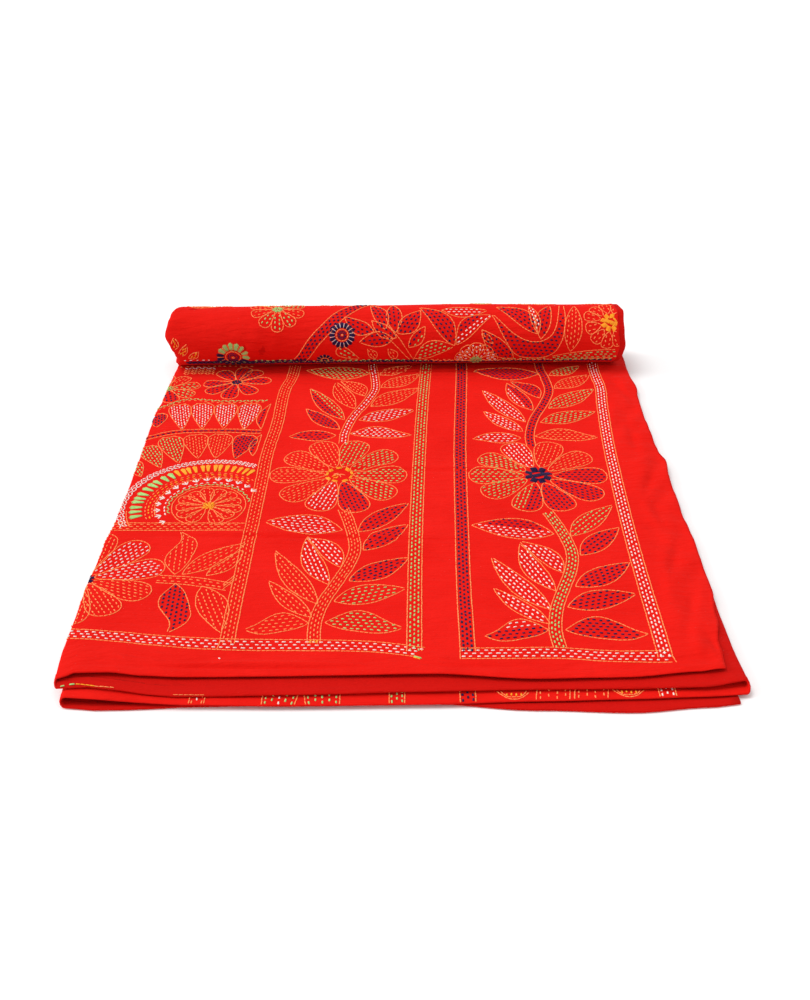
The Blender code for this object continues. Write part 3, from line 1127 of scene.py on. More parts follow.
    def wedges(
        self, centre: Point, inner: float, outer: float, start: float, end: float, thread: Thread,
            pitch: float
    ) -> None:
        """Sews a ring of satin wedges.

        Args:
            centre: The ring's middle.
            inner: Where the wedges start.
            outer: Where they end.
            start: The direction of the first one.
            end: The direction of the last one.
            thread: Their thread.
            pitch: How far apart they are at the outside.
        """
        middle = np.array(centre)
        count = max(2, int(abs(end - start) * outer / pitch))
        for i in range(count):
            way = heading(start + (end - start) * (i + 0.5) / count + self.chance.normal(0.0, 0.008))
            side = leftward(way)
            for shift in (-1.5, -0.75, 0.0, 0.75, 1.5):
                foot = middle + inner * way + 0.0003 * shift * side
                end_at = middle + (outer - 0.0012 * abs(shift)) * way + 0.30 * pitch * shift / 1.5 * side
                self.sew(thread, foot[None], end_at[None], 0.0013)

    def tufts(self, path: np.ndarray, size: float, thread: Thread) -> None:
        """Sews a row of small tufts that open to the path's left.

        Args:
            path: The path.
            size: How far a tuft reaches.
            thread: Its thread.
        """
        spots = resampled(path, 0.0112)
        out = beside(spots, 1.0) - spots
        onward = np.stack((out[:, 1], -out[:, 0]), axis=-1)
        foot = spots - 0.35 * size * out
        for lean in (-0.80, -0.45, -0.10, 0.25, 0.60):
            turn = lean + self.chance.normal(0.0, 0.12)
            reach = size * self.chance.uniform(0.85, 1.15)
            end = foot + reach * (math.cos(turn) * out + math.sin(turn) * onward)
            self.sew(thread, foot, end, 0.0013)

    def chain(self, path: np.ndarray, thread: Thread, lean: float = 0.0012) -> None:
        """Sews a chain along a path: short stitches that lean to and fro.

        Args:
            path: The path.
            thread: Its thread.
            lean: How far each stitch leans.
        """
        spots = resampled(path, 0.0043)
        along = np.diff(spots, axis=0)
        length = np.maximum(np.linalg.norm(along, axis=1, keepdims=True), 1e-9)
        along = along / length
        side = np.stack((-along[:, 1], along[:, 0]), axis=-1)
        side[::2] *= -1.0
        middle = (spots[:-1] + spots[1:]) / 2.0
        self.sew(thread, middle - 0.0016 * along - lean * side, middle + 0.0016 * along + lean * side,
            0.0013)

    def heart(self, top: Point, tip: Point, width: float, thread: Thread) -> None:
        """Sews a heart-shaped drop that points down to its tip.

        Args:
            top: The middle of its round top.
            tip: Its point.
            width: Its widest.
            thread: The filling thread.
        """
        foot, end = np.array(tip), np.array(top)
        along = (end - foot) / np.linalg.norm(end - foot)
        aside = leftward(along)
        t = np.concatenate((np.linspace(0.0, 0.85, 12), np.array((0.91, 0.96, 1.0))))[:, None]
        half = t**0.80 * np.sqrt(np.maximum(0.0, 1.0 - 0.93 * t**6))
        half *= width / 2.0 / half.max()
        rib = foot + t * float(np.linalg.norm(end - foot)) * along
        lobe = np.array(((0.30, 0.012), (0.0, -0.035), (-0.30, 0.012)))
        crown = end + lobe[:, :1] * width * aside + lobe[:, 1:] * width * along
        shape = np.concatenate((rib - half * aside, crown[::-1], (rib + half * aside)[::-1]))
        self.outline(np.concatenate((shape, shape[:1])))
        self.fill(shape, thread, math.atan2(along[1], along[0]), closer=0.72)


def arc_of(x: float, y: float, radius: float, start: float, end: float) -> np.ndarray:
    """Draws part of a circle.

    Args:
        x: Its middle, across.
        y: Its middle, along.
        radius: Its radius.
        start: The direction of its first point.
        end: The direction of its last point.

    Returns:
        Its points.
    """
    turn = np.linspace(start, end, max(6, int(abs(end - start) * radius / 0.003)))
    return np.stack((x + radius * np.cos(turn), y + radius * np.sin(turn)), axis=-1)


@dataclass(frozen=True)
class Vine:
    """One flowering vine in its frame, as it repeats from panel to panel."""

    left: float
    lean: float
    stretch: float
    low: Thread
    high: Thread
    petals: tuple
    hub: Thread
    hub_radius: float
    right_leaves: tuple
    left_leaves: tuple
    right_tops: tuple
    left_tops: tuple
    nudge: Table = ((0.0, 0.0, 0.0), (1.0, 0.0, 0.0))
    open_hub: bool = False

    LEFT_LOW = (
        (60, 62, 3, 54, 27, -0.07, 0.09),
        (62, 70, 17, 126, 18, 0.03, 0.0),
        (66, 90, 18, 175, 22, 0.03, 0.0),
        (74, 120, 47, 196, 21, 0.06, 0.0),
        (84, 148, 47, 200, 21, -0.10, 0.0),
        (82, 212, 2, 229, 36, -0.03, 0.0),
    )
    RIGHT_LOW = (
        (75, 62, 146, 54, 30, 0.07, -0.07),
        (81, 94, 147, 114, 29, 0.03, 0.0),
        (93, 126, 149, 164, 26, -0.02, 0.0),
        (104, 176, 148, 222, 24, 0.02, 0.0),
        (98, 208, 147, 262, 24, 0.02, 0.0),
    )
    LEFT_HIGH = (
        (56, 404, 2, 402, 23, -0.03, -0.03),
        (59, 419, 16, 468, 20, 0.03, 0.0),
        (63, 441, 16, 520, 22, 0.02, 0.0),
        (73, 469, 46, 539, 22, 0.04, 0.0),
        (83, 499, 51, 543, 21, -0.12, 0.0),
        (87, 566, 6, 577, 36, 0.05, 0.0),
    )
    RIGHT_HIGH = (
        (72, 408, 142, 404, 25, 0.06, -0.05),
        (80, 440, 145, 465, 26, 0.0, 0.0),
        (92, 474, 149, 522, 27, 0.0, 0.0),
        (102, 524, 148, 562, 25, -0.02, 0.0),
        (99, 561, 138, 590, 21, -0.02, 0.0),
    )
    STEM_LOW = ((66, 38), (66, 62), (71, 92), (81, 121), (91, 151), (96, 177), (93, 203), (87, 230),
        (80, 252))
    STEM_HIGH = ((66, 386), (66, 411), (73, 448), (87, 486), (95, 517), (93, 552), (89, 582), (88, 606))

    def spot(self, u: float, v: float) -> Point:
        """Turns a place in the vine's own frame, in millimetres, into one on the quilt."""
        aside, onward = (float(eased(self.nudge, column, np.array(v))) for column in (1, 2))
        x = self.left + self.lean * v / 1000.0 + (self.stretch * u + aside) / 1000.0
        return (x, (v + onward) / 1000.0)

    def sew(self, work: Needlework) -> None:
        """Sews the whole vine.

        Args:
            work: The needlework that it goes into.
        """
        sets = (
            (self.LEFT_LOW, self.left_leaves),
            (self.RIGHT_LOW, self.right_leaves),
            (self.LEFT_HIGH, self.left_tops),
            (self.RIGHT_HIGH, self.right_tops),
        )
        for leaves, threads in sets:
            for (u0, v0, u1, v1, width, bow, sway), choice in zip(leaves, threads):
                first, second = pair_of(choice)
                foot, tip = self.spot(u0, v0), self.spot(u1, v1)
                work.leaf(foot, tip, width / 1000.0, first, bow, second, sway=sway)
        work.strip(curved([self.spot(*p) for p in self.STEM_LOW]), 0.0114, self.low, 3)
        work.strip(curved([self.spot(*p) for p in self.STEM_HIGH]), 0.0100, self.high, 2)
        middle = self.spot(69, 320)
        hub = None if self.open_hub else self.hub
        work.flower(middle, 0.0745, list(self.petals), 0.0315, self.hub_radius, hub)
        if self.open_hub:
            work.ring_hub(middle, self.hub_radius, self.hub, Thread.ORANGE)


def at(x: float, along: float) -> Point:
    """A place given in millimetres from the left fold and from the front."""
    return (1.0058 * x / 1000.0 - 0.2878, 1.0028 * along / 1000.0 - 0.0014)


def top_line(*places: Point) -> np.ndarray:
    """A smooth curve through places given as for at."""
    return curved([at(*place) for place in places])


ORANGE, WHITE, NAVY, GREEN, GOLD = tuple(Thread)


@dataclass
class TopPanel:
    """The embroidery of the top ply: two vines in frames, and the fan field along the left fold."""

    face: TopFace
    work: Needlework = field(default_factory=lambda: Needlework(seed=11))

    def sew(self) -> None:
        """Sews all of it."""
        self.frames()
        Vine(
            -0.1413, 0.040, 0.985, ORANGE, WHITE,
                (GREEN, GREEN, GREEN, ORANGE, ORANGE, ORANGE, ORANGE, WHITE, NAVY, GREEN), GOLD, 0.0138,
            (GREEN, GREEN, NAVY, NAVY, NAVY), (ORANGE, ORANGE, ORANGE, WHITE, WHITE, WHITE),
            (WHITE, WHITE, ORANGE, ORANGE, ORANGE), (NAVY, NAVY, (GREEN, NAVY), ORANGE, ORANGE, GREEN),
            (
                (38.0, -3.7, 0.0), (60.0, -4.6, 5.0), (150.0, -5.2, 6.0), (230.0, -6.2, 5.0),
                (320.0, -3.6, 3.5), (405.0, -0.5, 4.0), (520.0, 0.0, 2.0), (606.0, 0.0, 0.0),
            ),
            True,
        ).sew(self.work)
        Vine(
            0.0634, 0.044, 1.005, GREEN, NAVY,
                (NAVY, ORANGE, ORANGE, WHITE, GREEN, GREEN, GREEN, (GREEN, NAVY), NAVY, NAVY), NAVY,
                0.0145,
            (NAVY, NAVY, NAVY, NAVY, GREEN), ((WHITE, NAVY), WHITE, WHITE, WHITE, WHITE, (NAVY, WHITE)),
            (ORANGE, GREEN, GREEN, ORANGE, GREEN), (WHITE, WHITE, WHITE, (NAVY, WHITE), NAVY, NAVY),
            (
                (38.0, 4.2, -10.0), (62.0, 2.0, -9.0), (130.0, -1.5, -8.0), (200.0, -3.5, -6.0),
                (250.0, -6.0, -3.0), (320.0, 0.5, -1.0), (404.0, -0.5, -4.0), (480.0, -1.0, -6.0),
                (606.0, -1.5, -5.0),
            ),
        ).sew(self.work)
        self.fan()
        self.left_field()

    def frames(self) -> None:
        """Sews the straight strips that frame the vines."""
        work = self.work
        work.strip(top_line((-6, 52), (60, 45), (128, 39), (203, 37), (260, 33), (303, 24)), 0.0142,
            WHITE)
        work.strip(top_line((335, 22), (378, 22), (418, 22), (462, 17), (516, 15)), 0.0145, WHITE)
        for x0, v0, x1, v1 in ((126.6, 41, 125.0, 31), (334.4, 27, 334.0, 14.5), (515.4, 15, 517.4, 7.8)):
            work.outline(np.array((at(x0, v0), at(x1, v1))))
        work.strip(
            top_line((133, 40), (134, 96), (138, 222), (141, 318), (141.6, 355), (144, 391), (148.8, 438),
                                     (150.3, 488), (152.8, 524), (158, 554), (160.5, 600)),
            0.0130, ORANGE,
        )
        work.strip(top_line((295, 26), (298, 134), (302, 240), (309.6, 392), (313.4, 460), (317.8, 526),
            (323, 600)), 0.0130, GREEN)
        work.strip(top_line((341, 25), (343, 123), (347, 232), (353, 379), (364, 552), (366, 600)),
            0.0130, NAVY)
        work.strip(top_line((509, 14), (510, 121), (512, 240), (517, 377), (523.5, 470), (528.4, 520),
            (527.8, 552), (529, 600)), 0.0125, WHITE)

    def fan(self) -> None:
        """Sews the rings of the fan, from its medallion outwards."""
        work = self.work
        centre = at(91, 265)
        x, y = centre
        work.outline(arc_of(x, y, 0.0378, math.radians(-70), math.radians(250)))
        for i in range(12):
            way = heading(math.radians(-68 + 28 * i))
            reach = 0.0335 if i % 2 else 0.0350
            work.petal(np.array(centre) + 0.0065 * way, np.array(centre) + reach * way, 0.0150, ORANGE)
        work.ring_hub(centre, 0.0050, GOLD, GOLD)
        work.chain(arc_of(x, y, 0.0415, math.radians(10), math.radians(200)), GREEN)
        work.running(arc_of(x, y, 0.0450, math.radians(40), math.radians(212)), WHITE, 0.5)
        work.tufts(arc_of(x, y, 0.0515, math.radians(214), math.radians(34)), 0.0062, WHITE)
        for ring, radius in enumerate((0.0575, 0.0610, 0.0645)):
            thread = ORANGE if ring != 1 else GOLD
            work.running(arc_of(x, y, radius, math.radians(50), math.radians(206)), thread,
                0.5 * (ring % 2))
        work.outline(arc_of(x, y, 0.0550, math.radians(60), math.radians(200)))
        work.wedges(centre, 0.0670, 0.0818, math.radians(125), math.radians(198), GREEN, 0.0092)
        work.wedges(centre, 0.0680, 0.0838, math.radians(58), math.radians(125), GOLD, 0.0070)
        work.outline(arc_of(x, y, 0.0832, math.radians(186), math.radians(207)))
        for ring, radius in enumerate((0.0860, 0.0888, 0.0916)):
            work.chain(arc_of(x, y, radius, math.radians(62), math.radians(205)), WHITE,
                0.0008 + 0.0004 * (ring % 2))
        work.strip(top_line((-6, 229), (60, 227), (131, 225)), 0.0135, ORANGE)

    def left_field(self) -> None:
        """Sews what lies under and over the fan, along the left fold."""
        work = self.work
        petals = ((-90, 75, ORANGE), (-60, 69, ORANGE), (-23, 70, ORANGE), (16, 75, WHITE),
            (52, 77, WHITE), (86, 77, ORANGE))
        work.petals(at(-10, 140), 0.0090, petals, 0.0315)
        work.hub(at(-10, 140), 0.0085, NAVY)
        work.strip(top_line((58, 139), (92, 134), (127, 124)), 0.0125, ORANGE, 2)
        for shift in (0, 4, 9):
            work.outline(top_line((121, 121 + shift), (128, 131 + shift), (131, 137 + shift)))
        work.leaf(at(73, 146), at(69, 217), 0.025, ORANGE, -0.05, sway=-0.12)
        work.leaf(at(80, 146), at(135, 195), 0.023, ORANGE, 0.02)
        work.leaf(at(103, 143), at(134, 184), 0.017, ORANGE, -0.05)
        work.leaf(at(76, 131), at(79, 54), 0.027, NAVY, 0.04, sway=0.11)
        work.leaf(at(101, 126), at(126, 55), 0.028, ORANGE, 0.03)
        drops = ((9, 463, 13, 430, 24, NAVY), (31, 486, 43, 423, 26, WHITE),
            (58, 488, 65, 424, 27, WHITE), (86, 486, 89, 425, 27, WHITE), (115, 485, 112, 423, 27, WHITE),
                 (59, 412, 68, 360, 28, ORANGE), (88, 413, 87, 360, 28, ORANGE),
                 (118, 411, 108, 360, 27, NAVY), (30, 407, 49, 350, 28, GREEN),
                 (9, 386, 31, 340, 25, GREEN), (-2, 352, 13, 322, 20, GREEN))
        for x0, y0, x1, y1, width, thread in drops:
            work.heart(at(x0, y0), at(x1, y1), width / 1000.0, thread)
        rail = top_line((-5, 462), (12, 478), (40, 497), (82, 491), (134, 491))
        work.chain(beside(rail, 0.0015), GREEN)
        work.running(beside(rail, -0.0022), ORANGE, 0.5)
        middle = top_line((-5, 398), (8, 406), (38, 418), (89, 420), (132, 418))
        work.outline(beside(middle, 0.0034))
        work.along_path(NAVY, middle, 0.0040, 0.0020, 0.0, 0.0016)
        work.outline(beside(middle, -0.0034))
        work.leaf(at(131, 424), at(138, 484), 0.010, NAVY)
        work.leaf(at(127, 366), at(133, 412), 0.010, NAVY)
        around = ((6, 42), (52, 43), (80, 45), (123, 41), (186, 40), (222, 44), (262, 46), (306, 41))
        work.petals(at(92, 543), 0.0055, tuple((*petal, NAVY) for petal in around), 0.0200)
        work.hub(at(92, 543), 0.0058, NAVY)
        work.flower(at(12, 528), 0.038, [GREEN, ORANGE, ORANGE, GREEN, NAVY, NAVY, NAVY, GREEN], 0.0200,
            0.0055, GREEN, math.radians(12))
        work.running(top_line((18, 590), (60, 592), (110, 590)), ORANGE)
        for along, thread in ((585, WHITE), (579, ORANGE), (574, ORANGE), (569, ORANGE)):
            work.chain(top_line((24, along), (42, along + 2), (62, along)), thread, 0.0018)
        work.along_path(GREEN, np.array((at(294, 19.5), at(302, 15.5))), 0.0080, 0.0004, 0.0, 0.0017)
        work.along_path(GOLD, np.array((at(294, 18.0), at(301, 14.5))), 0.0070, 0.0004, 0.0, 0.0013)
        work.along_path(WHITE, np.array((at(128, 20.5), at(130, 19.0))), 0.0020, 0.0004, 0.0, 0.0014)
        for aside in (-3.0, 0.0, 3.0):
            work.along_path(GOLD, np.array((at(207 + aside, 40.0), at(209 + aside, 44.0))), 0.0040,
                0.0004, 0.0, 0.0016)


@dataclass
class RollPanel:
    """The embroidery that the roll shows, all the way round."""

    face: RollFace
    work: Needlework = field(default_factory=lambda: Needlework(seed=23,
        limit=(-0.30, 0.30, 0.004, 0.235)))

    def place(self, x: float, degrees: float) -> Point:
        """A place given in millimetres from the left fold and degrees round the roll from the floor."""
        turn = math.radians(degrees)
        slope = self.face.lay.turn_pitch() / (2.0 * math.pi)
        return (x / 1000.0 - 0.286, self.face.lay.roll_radius * turn - slope * turn * turn / 2.0)

    def line(self, *places: Point) -> np.ndarray:
        """A smooth curve through places given as for place."""
        return curved([self.place(*place) for place in places])

    def leaves(self, rows: tuple) -> None:
        """Sews leaves.

        Args:
            rows: For each the places of its base and its tip, its width in millimetres, its thread or
                pair of threads, and its bow.
        """
        for x0, d0, x1, d1, width, choice, bow in rows:
            first, second = pair_of(choice)
            self.work.leaf(self.place(x0, d0), self.place(x1, d1), width / 1000.0, first, bow, second)

    def sew(self) -> None:
        """Sews all of it."""
        self.front_left()
        self.front_right()
        self.nip()
        self.behind()

    def front_left(self) -> None:
        """Sews the daisies, the curved stem and the leaves of the roll's left half."""
        work, place = self.work, self.place
        work.flower(place(140, 183), 0.034,
            [ORANGE, GREEN, GREEN, GREEN, ORANGE, ORANGE, GREEN, ORANGE, GREEN, GREEN], 0.0150, 0.0060,
                GREEN, math.radians(18))
        work.daisy(place(85, 290.5), 0.0215, 15,
            (GREEN, NAVY, NAVY, NAVY, NAVY, NAVY, NAVY, NAVY, NAVY, GREEN, GREEN, GREEN, GREEN, GREEN,
            GREEN), NAVY)
        for base, tip in (((15.5, 271), (15, 247)), ((19, 287), (30, 260)), ((30.5, 293), (44, 276))):
            work.leaf(place(*base), place(*tip), 0.0088, GOLD, closer=0.42)
        path = self.line((165, 304), (172, 288), (184, 258), (200, 231), (216, 203), (234, 177),
            (262, 130))
        work.strip(path, 0.0140, NAVY, 3)
        work.daisy(place(219, 244), 0.0170, 16, (NAVY,), NAVY, WHITE)
        work.daisy(place(197, 302), 0.0110, 12, (NAVY,), NAVY)
        work.petal(np.array(place(239, 298)), np.array(place(212, 272)), 0.0150, GREEN)
        leaves = (
            (258, 238, 222, 207, 18, NAVY, -0.10), (281, 252, 240, 258, 18, NAVY, 0.03),
            (272, 234, 254, 168, 18, NAVY, 0.05),
            (285, 250, 255, 216, 15, NAVY, -0.06), (284, 240, 281, 168, 19, NAVY, 0.0),
            (287, 242, 315, 193, 22, NAVY, 0.06),
            (356, 266, 314, 184, 23, NAVY, 0.10), (358, 264, 402, 205, 21, (NAVY, WHITE), -0.13),
            (300, 269, 320, 228, 14, (NAVY, GREEN), 0.05),
            (307, 298, 356, 266, 21, GREEN, -0.12), (341, 192, 397, 193, 17, WHITE, 0.05),
        )
        self.leaves(leaves)
        work.outline(self.line((272, 224), (290, 254), (307, 302)))
        work.outline(self.line((270, 244), (286, 268), (302, 302)))
        for x0, x1 in ((259, 250), (284, 275)):
            work.leaf(place(x0, 298), place(x1, 272), 0.0110, ORANGE)

    def front_right(self) -> None:
        """Sews the round-petalled flower, the bowl of leaves and the gold daisy of the right half."""
        work, place = self.work, self.place
        work.petals(place(383, 304), 0.0070, tuple((196 + 37 * i, 27, WHITE) for i in range(5)), 0.0175)
        work.hub(place(383, 304), 0.0075, GREEN)
        for i in range(5):
            x, y = np.array(place(383, 304)) + 0.0195 * heading(math.radians(196 + 37 * i))
            work.outline(arc_of(x, y, 0.0034, 0.0, 2.0 * math.pi))
        outer = self.line((402, 205), (416, 250), (432, 288), (454, 299), (474, 290), (486, 261),
            (491, 222), (491, 176))
        inner = self.line((404, 205), (426, 241), (447, 258), (466, 256), (479, 234), (486, 176))
        work.outline(outer)
        work.outline(inner)
        work.fill(np.concatenate((outer, inner[::-1])), NAVY, 0.10)
        leaves = (
            (429, 299, 389, 236, 22, NAVY, -0.04), (457, 244, 408, 182, 22, NAVY, 0.10),
            (458, 244, 448, 176, 11, WHITE, 0.02),
            (461, 254, 474, 176, 19, NAVY, -0.06), (498, 281, 504, 178, 21, ORANGE, 0.0),
            (389, 243, 403, 262, 8, ORANGE, 0.0),
        )
        self.leaves(leaves)
        work.flower(place(546, 222), 0.0325, [ORANGE] * 11, 0.0150, 0.0115, GOLD)
        work.strip(self.line((478, 304), (500, 296), (527, 290), (566, 288)), 0.0140, GREEN, 3)

    def nip(self) -> None:
        """Sews the rows that disappear under the roll's front: dense navy rows, partly real stitching and
        partly painted shade for the dark nip, and sparse coloured specks.
        """
        work, place = self.work, self.place
        # Dense, wide navy rows: partly the real dark strip at the nip, partly painted shade that darkens
        # the nip where the roll overhangs.
        nip_shade_rows = (
            (295.0, 62, 178), (298.0, 28, 182), (298.5, 240, 312), (301.0, 26, 330), (303.6, 26, 566),
            (306.2, 26, 566),
        )
        for degrees, x0, x1 in nip_shade_rows:
            path = resampled(np.array([place(x, degrees + 7.2 - 0.0068 * x) for x in (x0, x1)]), 0.004)
            work.along_path(NAVY, path, 0.0042, 0.0007, work.chance.uniform(0.0, 0.5), 0.0021)
        bright = (
            (293.0, 24, 62, WHITE), (294.5, 108, 160, GREEN), (296.5, 190, 300, GREEN),
            (299.6, 60, 330, GREEN), (297.0, 318, 372, ORANGE),
            (296.5, 415, 475, GREEN), (300.5, 330, 480, ORANGE), (300.0, 480, 560, GREEN),
            (302.3, 120, 560, ORANGE),
        )
        for degrees, x0, x1, thread in bright:
            path = resampled(np.array([place(x, degrees + 6.6 - 0.0068 * x) for x in (x0, x1)]), 0.004)
            work.along_path(thread, path, 0.0028, 0.0044, work.chance.uniform(0.0, 0.5), 0.0014)

    def behind(self) -> None:
        """Sews the part that lies on the roll's back and under it."""
        work, place = self.work, self.place
        work.strip(self.line((262, 120), (290, 90), (330, 62), (372, 30), (380, 8)), 0.0125, NAVY, 3)
        work.flower(place(205, 96), 0.036,
            [ORANGE, ORANGE, GREEN, GREEN, WHITE, WHITE, ORANGE, ORANGE, GREEN, GREEN], 0.0155, 0.0060,
                GOLD)
        work.flower(place(60, 120), 0.030, [WHITE, WHITE, ORANGE, ORANGE, WHITE, WHITE, ORANGE, ORANGE],
            0.0150, 0.0055, GREEN)
        work.flower(place(455, 110), 0.038,
            [NAVY, NAVY, ORANGE, ORANGE, WHITE, WHITE, NAVY, NAVY, ORANGE, ORANGE], 0.0160, 0.0075, NAVY)
        leaves = (
            (300, 84, 262, 56, 19, GREEN, 0.05), (318, 76, 352, 110, 20, NAVY, 0.05),
            (344, 56, 392, 70, 18, ORANGE, 0.03), (330, 60, 296, 28, 18, WHITE, 0.04),
            (282, 100, 318, 130, 19, WHITE, 0.05), (120, 92, 150, 130, 18, NAVY, 0.1),
            (115, 84, 82, 60, 17, ORANGE, -0.05), (110, 92, 92, 128, 16, GREEN, 0.1),
            (420, 62, 450, 36, 18, WHITE, 0.05), (506, 126, 540, 150, 17, GREEN, 0.0),
            (510, 118, 548, 112, 16, ORANGE, 0.0), (500, 92, 536, 70, 17, NAVY, 0.05),
            (376, 140, 404, 162, 16, GREEN, 0.05), (370, 126, 340, 150, 15, ORANGE, 0.05),
            (20, 80, 52, 60, 16, NAVY, 0.1), (26, 150, 60, 168, 15, ORANGE, 0.05),
        )
        self.leaves(leaves)
        work.strip(self.line((8, 36), (120, 30), (250, 26), (400, 24), (560, 30)), 0.0115, WHITE, 3)


@dataclass
class Underside:
    """The embroidery of the lowest ply, which the quilt lies on."""

    face: LowerFace
    work: Needlework = field(default_factory=lambda: Needlework(seed=37,
        limit=(-0.279, 0.268, -0.016, 0.60)))

    def sew(self) -> None:
        """Sews two framed vines and a flower field."""
        work = self.work
        Vine(
            -0.2560, 0.010, 0.98, NAVY, ORANGE,
                (ORANGE, ORANGE, WHITE, WHITE, ORANGE, ORANGE, WHITE, WHITE, ORANGE, ORANGE), GOLD,
                0.0095,
            (WHITE, WHITE, ORANGE, ORANGE, GREEN), (NAVY, NAVY, GREEN, GREEN, ORANGE, ORANGE),
            (ORANGE, GREEN, GREEN, WHITE, WHITE), (GREEN, WHITE, WHITE, NAVY, ORANGE, ORANGE),
        ).sew(work)
        Vine(
            -0.0640, 0.010, 1.0, WHITE, GREEN,
                (GREEN, GREEN, NAVY, NAVY, ORANGE, ORANGE, GREEN, GREEN, NAVY, NAVY), ORANGE, 0.0110,
            (ORANGE, ORANGE, NAVY, NAVY, WHITE), (GREEN, GREEN, ORANGE, ORANGE, WHITE, WHITE),
            (NAVY, NAVY, ORANGE, ORANGE, GREEN), (WHITE, GREEN, GREEN, ORANGE, ORANGE, WHITE),
        ).sew(work)
        for x, thread in ((-0.262, GREEN), (-0.084, WHITE), (-0.062, ORANGE), (0.112, NAVY)):
            work.strip(curved([(x, 0.020), (x + 0.002, 0.20), (x + 0.004, 0.40), (x + 0.007, 0.60)]),
                0.0125, thread)
        work.strip(curved([(-0.268, 0.022), (-0.10, 0.020), (0.05, 0.021), (0.262, 0.018)]), 0.0115,
            WHITE)
        for i, along in enumerate((0.09, 0.20, 0.31, 0.42, 0.53)):
            threads = ([ORANGE, WHITE] * 5, [NAVY, NAVY, GREEN, GREEN, ORANGE] * 2, [WHITE] * 10,
                [GREEN, ORANGE] * 5, [NAVY, WHITE] * 5)[i]
            work.flower((0.193, along), 0.043, threads, 0.0175, 0.006,
                (GOLD, NAVY, GREEN, NAVY, GOLD)[i], 0.3 * i)
        for along in (0.145, 0.255, 0.365, 0.475):
            work.leaf((0.150, along - 0.01), (0.128, along + 0.022), 0.013, NAVY)
            work.leaf((0.236, along - 0.01), (0.262, along + 0.022), 0.013, ORANGE)


@dataclass
class FrontLips:
    """The bits of embroidery that show on the lower plies' front edges."""

    face: LowerFace
    work: Needlework = field(default_factory=lambda: Needlework(seed=41))

    def front(self, x: float) -> float:
        """Where the third ply's hem lies, at a place across in millimetres from the left fold."""
        return float(self.face.lay.hem(2, np.array(x / 1000.0 - 0.286)))

    def patch(self, left: float, right: float, lean_left: float, lean_right: float,
        threads: tuple) -> None:
        """Sews the foot of a stitched patch between two lines.

        Args:
            left: Its left outline, in millimetres from the left fold.
            right: Its right outline.
            lean_left: How far the left outline leans to the right at the back.
            lean_right: How far the right outline does.
            threads: The filling threads, one a row.
        """
        for x, lean in ((left, lean_left), (right, lean_right)):
            front = self.front(x)
            foot, top = (x / 1000.0 - 0.286, front + 0.0010), ((x + lean) / 1000.0 - 0.2858,
                front + 0.020)
            self.work.outline(np.array((foot, top)))
        for row, thread in enumerate(threads):
            share = (row + 0.5) / len(threads)
            x, lean = left + (right - left) * share, lean_left + (lean_right - lean_left) * share
            front = self.front(x)
            path = np.array(((x / 1000.0 - 0.286, front + 0.0012),
                ((x + lean) / 1000.0 - 0.286, front + 0.022)))
            self.work.running(path, thread, 0.05 + 0.45 * (row % 2))

    def bowl(self, left: float, right: float, depth: float, thread: Thread) -> None:
        """Sews the foot of a round shape, open to the back.

        Args:
            left: Its left end, in millimetres from the left fold.
            right: Its right end.
            depth: How far it reaches, in metres.
            thread: The filling thread.
        """
        middle = (left + right) / 2.0
        front = self.front(middle) + 0.0014
        for inset in (0.0, 3.2):
            a, b, deep = left + inset, right - inset, depth
            turn_in, half_way = (b - a) * 0.2, deep * 0.35
            corners = [(a, deep), (a + turn_in, half_way), (middle, inset / 1000.0)]
            corners += [(b - turn_in, half_way), (b, deep)]
            self.work.outline(curved([(x / 1000.0 - 0.286, front + y) for x, y in corners], 0.003))
        for i, share in enumerate((0.28, 0.43, 0.57, 0.72)):
            x = left + (right - left) * share
            path = np.array(((x / 1000.0 - 0.286, front + 0.0045),
                (x / 1000.0 - 0.286, front + depth + 0.004)))
            self.work.running(path, thread, 0.1 * (i % 2))

    def sew(self) -> None:
        """Sews the bits from left to right."""
        self.patch(107.5, 120.0, 0.0, 0.5, (ORANGE, WHITE, ORANGE))
        self.patch(167.5, 195.0, 0.0, 3.0, (GREEN, GREEN, WHITE, GREEN, GREEN))
        self.patch(204.0, 232.0, -3.0, 0.0, (GREEN, GREEN, GREEN, GREEN, GREEN))
        self.patch(273.0, 286.0, 0.0, 0.0, (GREEN, GREEN, GREEN))
        self.patch(332.0, 345.0, 0.0, 0.0, (NAVY, NAVY, NAVY))
        self.bowl(363.0, 391.0, 0.011, GOLD)
        for left, right in ((395.0, 423.0), (427.0, 455.0)):
            self.patch(left, right, 2.5, 2.5, (ORANGE, ORANGE, ORANGE, ORANGE))
        seam = 1000.0 * self.front(424.0)
        self.work.outline(np.array((at(425.5, seam), at(428.5, seam + 16.0))))
        self.bowl(460.0, 487.0, 0.010, GOLD)
        self.patch(498.5, 512.5, 0.0, 0.0, (WHITE, WHITE, WHITE))


@dataclass
class HemEdging:
    """The thin orange and green line that is sewn along the second ply's front edge, on its left."""

    face: LowerFace
    work: Needlework = field(default_factory=lambda: Needlework(seed=53))

    def sew(self) -> None:
        """Sews the line."""
        lay = self.face.lay
        for left, right, thread, space, width in (
            (-0.2740, -0.2580, GOLD, 0.0002, 0.0010), (-0.2580, -0.2420, ORANGE, 0.0002, 0.0009),
            (-0.1920, -0.1580, ORANGE, 0.0004, 0.0006), (-0.2860, -0.2740, GREEN, 0.0030, 0.0018),
        ):
            across = np.linspace(left, right, 12)
            along = lay.hem(1, across) + 0.0009 + 0.0003 * np.sin(90.0 * across)
            self.work.along_path(thread, np.stack((across, along), axis=-1), 0.0040, space, 0.0, width)


